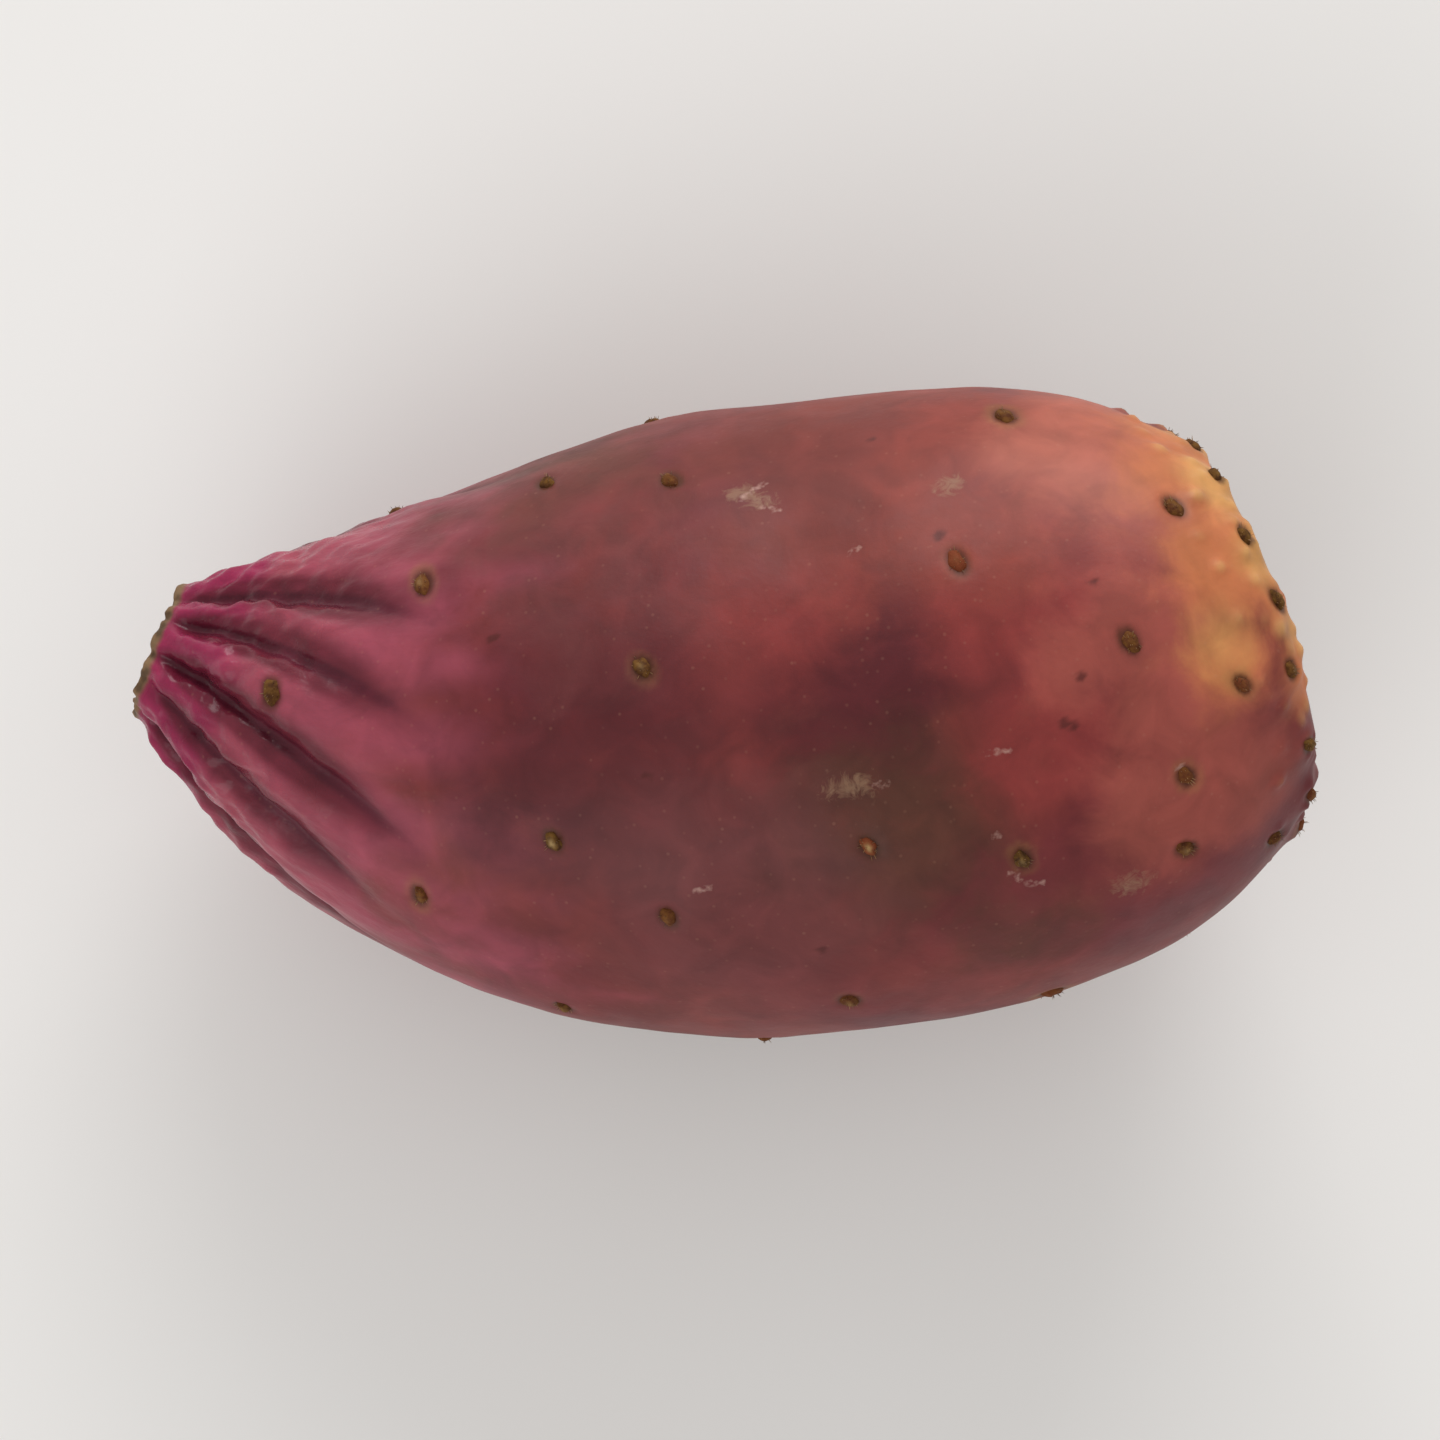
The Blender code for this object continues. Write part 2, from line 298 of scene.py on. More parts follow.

# %% [markdown]
# Areoles that show in the photograph are listed, as a distance, degrees and a width. The
# spiral fills the rest of the skin, and a close ring of them stands on the crown. The draws are the
# solid's own, in the same order, so every cushion lands on its dome.

# %% Where the areoles are
SEEN_AREOLES = (
    (78.7, 61.2, 2.6), (87.9, 31.0, 2.4), (72.4, 25.3, 2.6), (82.4, 2.5, 2.4), (88.2, -15.2, 2.0),
    (61.1, -24.6, 2.2), (72.4, -33.6, 2.2), (36.4, -22.0, 2.2), (26.0, -44.2, 2.2),
    (83.5, -28.8, 2.0), (82.6, -45.5, 2.2), (46.5, 54.0, 2.2), (44.0, 12.0, 2.2),
)
SEEN_SPAN = (47.0, 91.0)
SEEN_ANGLES = (math.radians(-62.0), math.radians(102.0))
AREOLE_WIDTH = 2.4
BODY_WIDTHS = (0.85, 1.15)
BODY_GAP = 9.0
SHIFT_ALONG = 1.0
SHIFT_ROUND = 1.5
CROWN_AREOLES = 17
CROWN_AT = 92.2
CROWN_WIDTHS = (0.75, 1.0)
CROWN_GAP = 4.2
CROWN_SHIFT = 0.5
CROWN_TURN = 0.15


def on_seen_side(axial, angle):
    """Whether a place is on the part of the skin whose areoles all show in the photograph."""
    in_span = SEEN_SPAN[0] < axial < SEEN_SPAN[1]
    return in_span and SEEN_ANGLES[0] < within_half_turn(angle) < SEEN_ANGLES[1]


def nearest(grown, areoles):
    """Distance from one areole to the closest of the others."""
    return min(np.linalg.norm(grown["seat"] - other["seat"]) for other in areoles)


def place_areoles():
    """The areoles seen, the spiral that fills the rest of the skin, and the ring on the crown."""
    dice = random.Random(SEED + 1)
    areoles = []
    for axial, degrees, width in SEEN_AREOLES:
        areoles.append(areole(axial, math.radians(degrees), width, BODY_MOUND))
    for axial, angle in spiral_places():
        angle += dice.uniform(-SHIFT_ROUND, SHIFT_ROUND) / side_radius(axial)
        grown = areole(axial + dice.uniform(-SHIFT_ALONG, SHIFT_ALONG), angle,
                       AREOLE_WIDTH * dice.uniform(*BODY_WIDTHS), BODY_MOUND)
        if nearest(grown, areoles) > BODY_GAP and not on_seen_side(axial, angle):
            areoles.append(grown)
    for number in range(CROWN_AREOLES):
        angle = math.tau * (number + dice.uniform(-CROWN_TURN, CROWN_TURN)) / CROWN_AREOLES
        grown = areole(CROWN_AT + dice.uniform(-CROWN_SHIFT, CROWN_SHIFT), angle,
                       AREOLE_WIDTH * dice.uniform(*CROWN_WIDTHS), CROWN_MOUND)
        if nearest(grown, areoles) > CROWN_GAP:
            areoles.append(grown)
    return areoles


all_areoles = place_areoles()
print("areoles before the resting side is cleared:", len(all_areoles))

# %% [markdown]
# An areole is a narrow oval, longer across the fruit than along it, and it leans over to one side.
# That lean shows well in the photograph, so each areole gets a long and a short direction of its
# own, with a little chance in both. Its felt, its pit and its bristles all follow them.

# %% How the areoles lie
AREOLE_OVAL = (0.60, 0.76)
AREOLE_LEAN = (math.radians(12.0), math.radians(38.0))


def lay_areole(grown, dice):
    """Give an areole its short and long directions on the skin, and how narrow its oval is."""
    along = outside_point(grown["axial"] + NORMAL_STEP, grown["angle"]) - grown["seat"]
    along = along - grown["facing"] * (along @ grown["facing"])
    along = along / np.linalg.norm(along)
    across = np.cross(grown["facing"], along)
    lean = dice.uniform(*AREOLE_LEAN)
    grown["long"] = across * math.cos(lean) - along * math.sin(lean)
    grown["short"] = along * math.cos(lean) + across * math.sin(lean)
    grown["oval"] = dice.uniform(*AREOLE_OVAL)


dice = random.Random(SEED + 2)
for grown in all_areoles:
    lay_areole(grown, dice)
print("narrowest oval:", round(min(grown["oval"] for grown in all_areoles), 2))

# %% [markdown]
# The skin is a grid: rows follow the outline, columns go round. The rows are 0.4 to 0.7 mm apart,
# closest on the neck and the crown, where the folds and knobs are. That stays under 200,000
# triangles, and anything finer is left to the material's bump. Areoles too near the floor are
# dropped, as on the solid.

# %% The grid of the skin
ROWS = 272
COLUMNS = 352
ROWS_CLOSER = 0.6
CLOSE_NECK = (10.0, 26.0)
CLOSE_CROWN = (80.0, 89.0)
REST_PRESS = 0.8
FLOOR_CLEARANCE = 2.0


def spaced_rows(curve, count):
    """Points along a curve, closer together on the neck and the crown than on the belly."""
    middles = (curve[1:, 0] + curve[:-1, 0]) / 2.0
    ends = 1.0 - ramp(middles, *CLOSE_NECK) + ramp(middles, *CLOSE_CROWN)
    gaps = np.linalg.norm(np.diff(curve, axis=0), axis=1) * (1.0 + ROWS_CLOSER * ends)
    run = np.concatenate([[0.0], np.cumsum(gaps)])
    even = np.linspace(0.0, run[-1], count)
    return np.column_stack([np.interp(even, run, curve[:, axis]) for axis in (0, 1)])


rows = spaced_rows(outline, ROWS)
axial, angle = np.meshgrid(rows[:, 0], math.tau * np.arange(COLUMNS) / COLUMNS, indexing="ij")
radius = np.repeat(rows[:, 1:], COLUMNS, axis=1)
grid = skin_point(axial, radius, angle)
straight = np.stack([axial, radius * np.cos(angle), radius * np.sin(angle)], axis=-1)
row_number = np.arange(ROWS)[:, None]
in_dish = row_number > np.argmax(rows[:, 0])
in_scar = row_number < np.argmin(rows[:, 0])
on_side = ~in_dish & ~in_scar
floor = grid[:, :, 2].min() + REST_PRESS
areoles = [grown for grown in all_areoles if grown["seat"][2] > floor + FLOOR_CLEARANCE]
print("skin grid:", ROWS, "by", COLUMNS, "areoles kept:", len(areoles))

# %% [markdown]
# Relief comes in layers, each pushed out along the skin's normal. The first belongs to the areoles:
# the mounds of the solid, with a shallow pit and a low broken lip round each cushion. Distance to
# an areole counts in half widths of it, so a big cushion gets a big pit. Noise gets a size in
# millimetres, and a start of its own so that no two layers look alike.

# %% Relief round the areoles
PIT_DEPTH = 0.28
PIT_REACH = 1.15
LIP_HEIGHT = 0.08
LIP_AT = 1.5
LIP_SPREAD = 0.4


def unevenness(points, size, start=0.0):
    """Smooth noise from about -1 to 1, with bumps of about a size in millimetres."""
    flat = points.reshape(-1, 3) / size + start
    values = [noise.noise(Vector(point)) for point in flat]
    return np.array(values).reshape(points.shape[:-1])


def mound_relief(points):
    """Mounds of the areoles, as in the solid."""
    rise = np.zeros(points.shape[:-1])
    for grown in areoles:
        height, spread = grown["mound"]
        away = np.linalg.norm(points - grown["seat"], axis=-1)
        rise += height * np.exp(-0.5 * (away / spread) ** 2)
    return rise


def areole_shares(points):
    """Distance to each areole, as a share of its half width, one layer for each."""
    layers = []
    for grown in areoles:
        away = points - grown["seat"]
        across_it = (away @ grown["short"]) * (1.0 / grown["oval"] - 1.0)
        spread = away + across_it[..., None] * grown["short"]
        layers.append(np.linalg.norm(spread, axis=-1) / (grown["width"] / 2.0))
    return np.stack(layers)


shares = areole_shares(grid)
near_areole = shares.min(axis=0)
relief = mound_relief(grid)
relief -= PIT_DEPTH * np.exp(-((near_areole / PIT_REACH) ** 2)) * ~in_dish
broken = np.clip(0.5 + unevenness(grid, 2.4, 2.0), 0.0, 1.0) * ~in_dish
relief += LIP_HEIGHT * broken * np.exp(-(((near_areole - LIP_AT) / LIP_SPREAD) ** 2))
print("mounds and pits, in mm:", round(relief.min(), 2), "to", round(relief.max(), 2))

# %% [markdown]
# The flesh below the skin is never even: slow noise swells it and finer noise dimples it. On the
# neck each fold has a sharp crease in its valley, fine wrinkles run lengthwise, and the skin
# puckers where the stem was. Noise taken in the unbent fruit, squeezed lengthwise, comes out drawn
# along the neck. Each layer is a height, a size and a start.

# %% Relief of the flesh and the neck
SWELLS = ((0.28, 17.0, 0.0), (0.08, 5.0, 3.0), (0.025, 2.2, 4.0))
SETTLE = 0.2
CREASE_SPREAD = math.radians(2.6)
CREASE_DEPTH = 0.35
NECK_FADE = (6.0, 36.0)
WRINKLES = ((0.22, 1.7, 7.0), (0.11, 0.85, 9.0))
WRINKLE_STRETCH = 4.0
PUCKERS = (0.42, 1.3, 19.0)
PUCKER_STRETCH = 1.6
PUCKER_FADE = (7.0, 20.0)


def drawn_out(times):
    """The unbent grid squeezed lengthwise, so that noise in it is drawn out along the fruit."""
    return straight / np.array((times, 1.0, 1.0))


for height, size, start in SWELLS:
    relief += height * unevenness(grid, size, start)
relief -= SETTLE
crease = fold_profile(axial, angle, CREASE_SPREAD) * on_side
relief -= CREASE_DEPTH * crease
neck = (1.0 - ramp(axial, *NECK_FADE)) * ~in_dish
for height, size, start in WRINKLES:
    relief += height * neck * unevenness(drawn_out(WRINKLE_STRETCH), size, start)
height, size, start = PUCKERS
pucker = (1.0 - ramp(axial, *PUCKER_FADE)) * on_side
relief += height * pucker * unevenness(drawn_out(PUCKER_STRETCH), size, start)
print("relief with the neck, in mm:", round(relief.min(), 2), "to", round(relief.max(), 2))

# %% [markdown]
# Small knobs crowd the rim of the crown, the feet of scales that fell with the flower. They stand
# in three uneven rows, given by a distance along the fruit and a count.

# %% Knobs on the rim of the crown
KNOB_ROWS = ((89.4, 30), (91.4, 44), (93.2, 50))
KNOB_SHIFT = 0.7
KNOB_TURN = 0.4
KNOB_HEIGHT = (0.15, 0.5)
KNOB_SPREAD = (0.5, 0.95)


def knob_relief(points):
    """Small knobs in uneven rows round the rim of the crown."""
    dice = random.Random(SEED + 5)
    rise = np.zeros(points.shape[:-1])
    for row_axial, count in KNOB_ROWS:
        for number in range(count):
            at = row_axial + dice.uniform(-KNOB_SHIFT, KNOB_SHIFT)
            turn = math.tau * (number + dice.uniform(-KNOB_TURN, KNOB_TURN)) / count
            away = np.linalg.norm(points - outside_point(at, turn), axis=-1)
            away /= dice.uniform(*KNOB_SPREAD)
            rise = np.maximum(rise, dice.uniform(*KNOB_HEIGHT) * np.exp(-away**2))
    return rise


knobs = knob_relief(grid)
relief += knobs
print("knobs:", sum(count for _, count in KNOB_ROWS), "up to, in mm:", round(knobs.max(), 2))

# %% [markdown]
# Inside the crown the skin dips to a dish. Where the petals and stamens stood, the dish has fine
# radial creases down its wall and a dry, ringed floor with a small pit left by the style. The stem
# scar at the other end has rings and torn fibres. A slow wander keeps all these lines from running
# true, because nothing on a plant is drawn with compasses. Rings are given by a height and a gap,
# the style's pit by a depth and a radius, and grain and fibres by a height, a size and a start.

# %% Relief of the dish and of the stem scar
DISH_WALL = (5.0, 8.5)
DISH_RIM = (11.0, 13.4)
DISH_FLOOR = (6.5, 8.6)
DISH_CREASES = 34
DISH_CREASE_DEPTH = 0.28
DISH_RINGS = (0.10, 1.5)
DISH_GRAIN = (0.22, 1.1, 13.0)
STYLE_PIT = (0.5, 1.3)
SCAR_EDGE = (0.3, 1.1)
SCAR_RINGS = (0.18, 1.9)
SCAR_FIBRES = (0.25, 0.9, 17.0)


def ringed(gap):
    """Waves outwards from the spine, a gap apart, that wander a little."""
    return np.sin(radius * math.tau / gap + 2.0 * wander)


wander = 0.5 * unevenness(grid, 3.5, 11.0)
dish_wall = in_dish * ramp(radius, *DISH_WALL) * (1.0 - ramp(radius, *DISH_RIM))
dish_creases = np.abs(np.sin(0.5 * DISH_CREASES * angle + 3.0 * wander)) ** 3
relief -= DISH_CREASE_DEPTH * dish_wall * dish_creases
dish_floor = in_dish * (1.0 - ramp(radius, *DISH_FLOOR))
dish_grain = DISH_GRAIN[0] * unevenness(grid, *DISH_GRAIN[1:])
relief += dish_floor * (DISH_RINGS[0] * ringed(DISH_RINGS[1]) + dish_grain)
relief -= STYLE_PIT[0] * in_dish * np.exp(-((radius / STYLE_PIT[1]) ** 2))
scar = np.where(in_scar, 1.0, (1.0 - ramp(axial, *SCAR_EDGE)) * ~in_dish)
fibres = unevenness(straight, *SCAR_FIBRES[1:])
relief += scar * (SCAR_FIBRES[0] * fibres + SCAR_RINGS[0] * ringed(SCAR_RINGS[1]))
print("dish floor reaches, in mm:", round(radius[dish_floor > 0.5].max(), 1))

# %% [markdown]
# Soft fruit settles where it lies, so the underside is pressed flat at the floor with a soft edge,
# exactly as on the solid. The finished grid is then moved over the solid's own box.

# %% Shape the skin and place it
REST_BLEND = 0.25


def grid_normals(points):
    """Outward normals of a grid whose columns close on themselves."""
    along = np.gradient(points, axis=0)
    around = np.roll(points, -1, axis=1) - np.roll(points, 1, axis=1)
    normal = np.cross(along, around)
    size = np.linalg.norm(normal, axis=2, keepdims=True)
    normal = normal / np.maximum(size, 1e-9)
    for pole, ring in ((0, 1), (-1, -2)):
        mean = normal[ring].mean(axis=0)
        normal[pole] = mean / np.linalg.norm(mean)
    return normal


skin = grid + grid_normals(grid) * relief[..., None]
height = skin[:, :, 2]
lift = height - floor
soft = floor + (lift + REST_BLEND) ** 2 / (4.0 * REST_BLEND)
pressed = np.where(lift < REST_BLEND, soft, height)
skin[:, :, 2] = np.where(lift < -REST_BLEND, floor, pressed)
skin_list = skin.reshape(-1, 3)
middle = (skin_list.min(axis=0) + skin_list.max(axis=0)) / 2.0
cad_middle = [(a + b) / 2.0 / MM for a, b in zip(*cad_box)]
shift = np.array((cad_middle[0] - middle[0], cad_middle[1] - middle[1], -floor))
print("the fruit rests", round(-floor, 1), "mm below its spine")

# %% [markdown]
# Colour and gloss are worked out next. Surfaces take sRGB hex values, as a colour picker gives
# them, turned to linear light by one function. Every node is added by one small function too, with
# its settings and what feeds it. Patterns are laid out in the object's own coordinates, in metres,
# so their scale comes from real sizes. Most natural surfaces drift between two tones, and dry ones
# are rough to the touch, so those two steps get a helper each.

# %% Helpers for materials
def linear(hex_colour):
    """Linear colour of an sRGB hex value."""
    parts = [int(hex_colour[k:k + 2], 16) / 255.0 for k in (1, 3, 5)]
    light = [p / 12.92 if p <= 0.04045 else ((p + 0.055) / 1.055) ** 2.4 for p in parts]
    return (*light, 1.0)


def per_metre(millimetres):
    """Texture scale that makes features of about this size."""
    return 1.0 / (millimetres * MM)


def add(tree, kind, links=None, **settings):
    """Add a node: settings are its own properties, links feed its sockets."""
    node = tree.nodes.new(kind)
    for name, value in settings.items():
        setattr(node, name, value)
    for socket, value in (links or {}).items():
        if isinstance(value, bpy.types.NodeSocket):
            tree.links.new(value, node.inputs[socket])
        else:
            node.inputs[socket].default_value = value
    return node


def new_material(name):
    """An empty node material, its tree, and the place of each point in the object."""
    material = bpy.data.materials.new(name)
    material.use_nodes = True
    tree = material.node_tree
    tree.nodes.clear()
    return material, tree, add(tree, "ShaderNodeTexCoord").outputs["Object"]


def two_tones(tree, patches, dark, light, start=0.35, end=0.65):
    """Colour that drifts between two hex values as a noise goes from start to end."""
    share = add(tree, "ShaderNodeMapRange", {"Value": patches.outputs["Fac"], "From Min": start,
                                             "From Max": end})
    return add(tree, "ShaderNodeMix", {0: share.outputs[0], 6: linear(dark), 7: linear(light)},
               data_type="RGBA").outputs[2]


def rough_to_touch(tree, place, size, detail, strength, depth):
    """Normals of a dry surface whose grain has a size and a depth in millimetres."""
    grain = add(tree, "ShaderNodeTexNoise", {"Vector": place, "Scale": per_metre(size),
                                             "Detail": detail})
    return add(tree, "ShaderNodeBump", {"Height": grain.outputs["Fac"], "Strength": strength,
                                        "Distance": depth * MM}).outputs[0]


print("the sRGB colour #808080 is", round(linear("#808080")[0], 3), "in linear light")

# %% [markdown]
# The skin is living plant tissue under a cuticle of wax. Its colour follows ripening and sun:
# magenta at the neck, crimson to maroon on the body with olive where green is left, salmon and
# orange towards the flower end. An image could carry that, but soft round spots are enough and
# stay editable. Each spot is a distance along, degrees round, a spread in millimetres and a
# strength, and where two spots of a blush meet, the stronger one counts.

# %% Where each blush of the skin lies
BLUSHES = {
    "maroon": ((62.0, 3.0, 11.0, 1.0), (57.0, 8.0, 9.0, 0.6), (40.0, 2.0, 16.0, 0.7),
               (36.0, -14.0, 12.0, 0.7)),
    "olive": ((62.5, -21.0, 10.0, 0.9), (69.0, -20.0, 8.0, 0.8), (57.0, -12.0, 6.0, 0.5),
              (70.0, -48.0, 9.0, 0.5), (33.0, 70.0, 14.0, 0.6), (60.0, 150.0, 16.0, 0.6),
              (45.0, -120.0, 14.0, 0.6)),
    "mauve": ((50.0, -34.0, 13.0, 1.0), (40.0, 30.0, 12.0, 0.5)),
    "crimson": ((79.0, 19.0, 8.0, 1.0), (74.0, 14.0, 7.0, 0.8), (76.0, -14.0, 8.0, 0.9),
                (56.0, 22.0, 8.0, 0.8), (84.0, 150.0, 14.0, 0.7), (80.0, -120.0, 14.0, 0.7)),
    "russet": ((64.0, 60.0, 13.0, 1.0), (56.0, 62.0, 9.0, 0.7), (57.0, 38.0, 8.0, 0.7),
               (69.5, 34.0, 7.0, 0.7), (88.0, 140.0, 10.0, 0.7)),
    "salmon": ((80.0, 56.0, 12.0, 1.0), (73.5, 48.0, 7.5, 0.8), (84.0, 38.0, 7.0, 0.9),
               (74.5, 31.0, 8.0, 0.9), (72.0, 85.0, 12.0, 0.6), (84.0, 90.0, 10.0, 0.8)),
    "coral": ((84.5, 50.0, 8.0, 1.0), (79.0, 50.0, 5.0, 0.7), (86.0, 72.0, 7.0, 0.8)),
    "terracotta": ((84.0, 6.0, 7.0, 1.0), (79.5, 1.0, 5.0, 0.8), (85.0, -16.0, 8.0, 1.0),
                   (82.0, -32.0, 8.0, 0.9), (87.0, -38.0, 7.0, 0.9), (86.0, 24.0, 6.0, 1.0)),
    "orange": ((91.5, 40.0, 8.0, 1.0), (90.0, 16.0, 6.5, 1.0), (92.0, 62.0, 7.0, 0.8),
               (88.0, -8.0, 5.0, 0.7), (93.6, 2.0, 5.0, 1.0),
               (93.4, -20.0, 4.5, 0.9), (92.0, 100.0, 6.0, 0.6)),
    "gold": ((92.0, 40.0, 4.0, 1.0), (93.2, 18.0, 3.5, 0.9), (88.0, -4.0, 4.0, 0.45),
             (93.0, -8.0, 2.5, 0.7), (93.0, 70.0, 4.0, 0.7)),
}


def blush(spots):
    """Mask of round spots: place along, degrees round, spread in millimetres and strength."""
    mask = np.zeros(grid.shape[:-1])
    for spot_axial, degrees, spread, strength in spots:
        centre = outside_point(spot_axial, math.radians(degrees))
        away = np.linalg.norm(grid - centre, axis=-1) / spread
        mask = np.maximum(mask, strength * np.exp(-away**2))
    return mask


masks = {name: blush(spots) for name, spots in BLUSHES.items()}
print("blushes:", ", ".join(masks))

# %% [markdown]
# Other colours follow the form. The neck reddens in streaks, its fold valleys and creases are
# painted darker as painted shade, and the skin at the stem is magenta. Round some areoles a halo
# stays green and dry, the skin under each cushion is brown, knobs that face the sun turn gold, and
# both scars are cork with dark pits: painted shade in the hollows between the stem scar's fibres,
# and spots at random on the dish floor. Streaks and sun are noise, as before. A halo is its most
# green, its distance and its spread, the last two in half widths of its areole.

# %% Masks that follow the form
NECK_BLUSH = (0.0, 50.0)
NECK_TIP = (3.0, 12.0)
STREAKS = (12.0, 3.5, 41.0)
STREAK_STRETCH = 4.0
HALO = (0.8, 1.3, 0.7)
SUN = (0.6, 12.0, 27.0)
SPOT_REACH = 1.2

streaks = STREAKS[0] * unevenness(drawn_out(STREAK_STRETCH), *STREAKS[1:])
masks["neck"] = neck
masks["neck_blush"] = (1.0 - ramp(axial + streaks, *NECK_BLUSH)) * ~in_dish
masks["neck_tip"] = (1.0 - ramp(axial, *NECK_TIP)) * on_side
# Painted shade: the valleys and creases of the neck's folds are darkened in colour.
masks["valley"] = np.clip(fold_profile(axial, angle, FOLD_SPREAD), 0.0, 1.0) * on_side
masks["crease"] = np.clip(crease, 0.0, 1.0)
dice = random.Random(SEED + 4)
greens = np.array([dice.uniform(0.0, HALO[0]) ** 2 for _ in areoles])[:, None, None]
halos = greens * np.exp(-(((shares - HALO[1]) / HALO[2]) ** 2))
masks["halo"] = halos.max(axis=0) * ~in_dish
masks["areole_spot"] = np.exp(-((near_areole / SPOT_REACH) ** 3)) * ~in_dish
sunny = 0.35 + 1.1 * masks["orange"] + SUN[0] * unevenness(grid, *SUN[1:])
masks["knob"] = np.clip(1.8 * knobs, 0.0, 1.0) * np.clip(sunny, 0.0, 1.0)
masks["cork"] = np.maximum(scar, dish_floor)
# Painted shade at the stem scar, dark where the fibres' relief is lowest; on the dish floor the
# same spots fall at random.
masks["cork_pit"] = masks["cork"] * np.clip(0.35 - 1.6 * fibres, 0.0, 1.0)
print("masks so far:", len(masks))

# %% [markdown]
# Fruits rub in the tree, and the rubbed places heal as thin cork. This one has a few thin
# scratches, some soft grazes and some dark specks. Three tiny pale dots kept with the scratches are
# painted glints. Each is a short stroke between two places on the skin, given as a distance along
# the fruit and degrees round it, with a width. The material then breaks up its edge.

# %% Where the skin is marked
MARKS = {
    "scratch_and_glint": (
        ((53.1, 46.5), (55.6, 50.5), 0.45), ((54.8, 44.5), (56.8, 43.0), 0.42),
        ((71.2, -35.6), (72.1, -39.0), 0.45), ((72.1, -39.0), (73.5, -40.2), 0.42),
        # Painted glints: the short dots at 62.4, 70.7 and 83.2 mm along are pale highlights, not
        # scratches.
        ((71.3, -11.6), (73.6, -12.1), 0.40), ((62.4, -13.6), (63.1, -13.4), 0.55),
        ((70.7, -27.2), (71.0, -27.4), 0.50), ((83.2, -26.4), (83.4, -26.2), 0.55),
        ((62.9, 31.0), (63.8, 31.8), 0.40), ((47.1, -31.0), (48.5, -30.0), 0.40),
    ),
    "graze": (
        ((52.8, 48.5), (55.6, 45.5), 1.2), ((59.2, -13.2), (61.2, -12.8), 1.25),
        ((78.6, -47.6), (79.6, -48.8), 1.3), ((72.6, 42.6), (73.2, 43.4), 1.1),
        ((40.6, 131.0), (42.0, 133.0), 1.3), ((67.0, -99.6), (68.4, -98.6), 1.2),
    ),
    "speck": (
        ((79.0, -1.4), (79.3, -2.1), 0.40), ((77.4, -9.6), (78.0, -10.9), 0.42),
        ((71.0, 31.2), (71.3, 31.7), 0.50), ((81.2, 16.4), (81.4, 16.1), 0.34),
        ((56.0, -46.0), (56.4, -46.5), 0.36), ((44.0, -8.0), (44.3, -8.6), 0.32),
        ((66.0, 58.0), (66.3, 58.6), 0.34), ((30.0, 20.0), (30.6, 20.5), 0.34),
        ((60.0, 150.0), (60.8, 151.0), 0.45), ((49.0, -110.0), (49.6, -111.0), 0.40),
    ),
}


def stroke(start, end, width):
    """Mask of a stroke between two places, each along the fruit and round it in degrees."""
    first, last = [outside_point(along, math.radians(turned)) for along, turned in (start, end)]
    run = last - first
    share = np.clip((grid - first) @ run / (run @ run), 0.0, 1.0)
    away = np.linalg.norm(grid - first - share[..., None] * run, axis=-1)
    return np.exp(-((away / width) ** 2)) * ~in_dish


for kind, strokes in MARKS.items():
    masks[kind] = np.max([stroke(*mark) for mark in strokes], axis=0)
    print(kind, "strokes:", len(strokes))

# %% [markdown]
# Now the skin's material. The base is a crimson to maroon drift over 16 mm. Each blush is laid over
# it through its mask, and noise of 7 mm, the size of the real mottling, breaks the mask's edge.
# Each layer below is a mask, a colour, the most of it that shows, and how far its edge is broken.

# %% Waxy skin: blushes
DRIFT_SIZE = 16.0
MOTTLE_SIZE = 7.0
LAYERS = (
    ("neck_blush", "#984555", 0.95, 0.9),
    ("neck_tip", "#881a46", 0.8, 0.8),
    # Painted shade in the valleys of the neck's folds.
    ("valley", "#561724", 0.8, 0.5),
    ("maroon", "#4f1b20", 0.9, 0.9),
    ("olive", "#502f22", 0.85, 1.2),
    ("mauve", "#683434", 0.7, 1.2),
    ("crimson", "#81312f", 0.9, 1.1),
    ("russet", "#6f3029", 0.85, 1.1),
    ("salmon", "#81382f", 0.95, 0.9),
    ("terracotta", "#984b41", 0.85, 1.1),
    ("coral", "#a65c4b", 0.8, 1.0),
    ("orange", "#b96d44", 0.95, 0.9),
    ("gold", "#c29355", 0.7, 0.9),
    ("knob", "#c9a064", 0.45, 0.4),
    ("halo", "#8f6a3c", 0.35, 1.0),
    # Painted shade in the creases of the neck's folds.
    ("crease", "#4c1726", 0.7, 0.3),
    ("areole_spot", "#4a2813", 0.8, 0.4),
    ("speck", "#4a1d1a", 0.75, 0.4),
    ("cork", "#7d6246", 1.0, 0.8),
    # Painted shade between the stem scar's fibres, and random dark spots on the dish floor.
    ("cork_pit", "#4a3624", 0.75, 0.9),
)
MASK_START = (0.0, 0.12)
LAYER_EDGE = (0.1, 0.8)

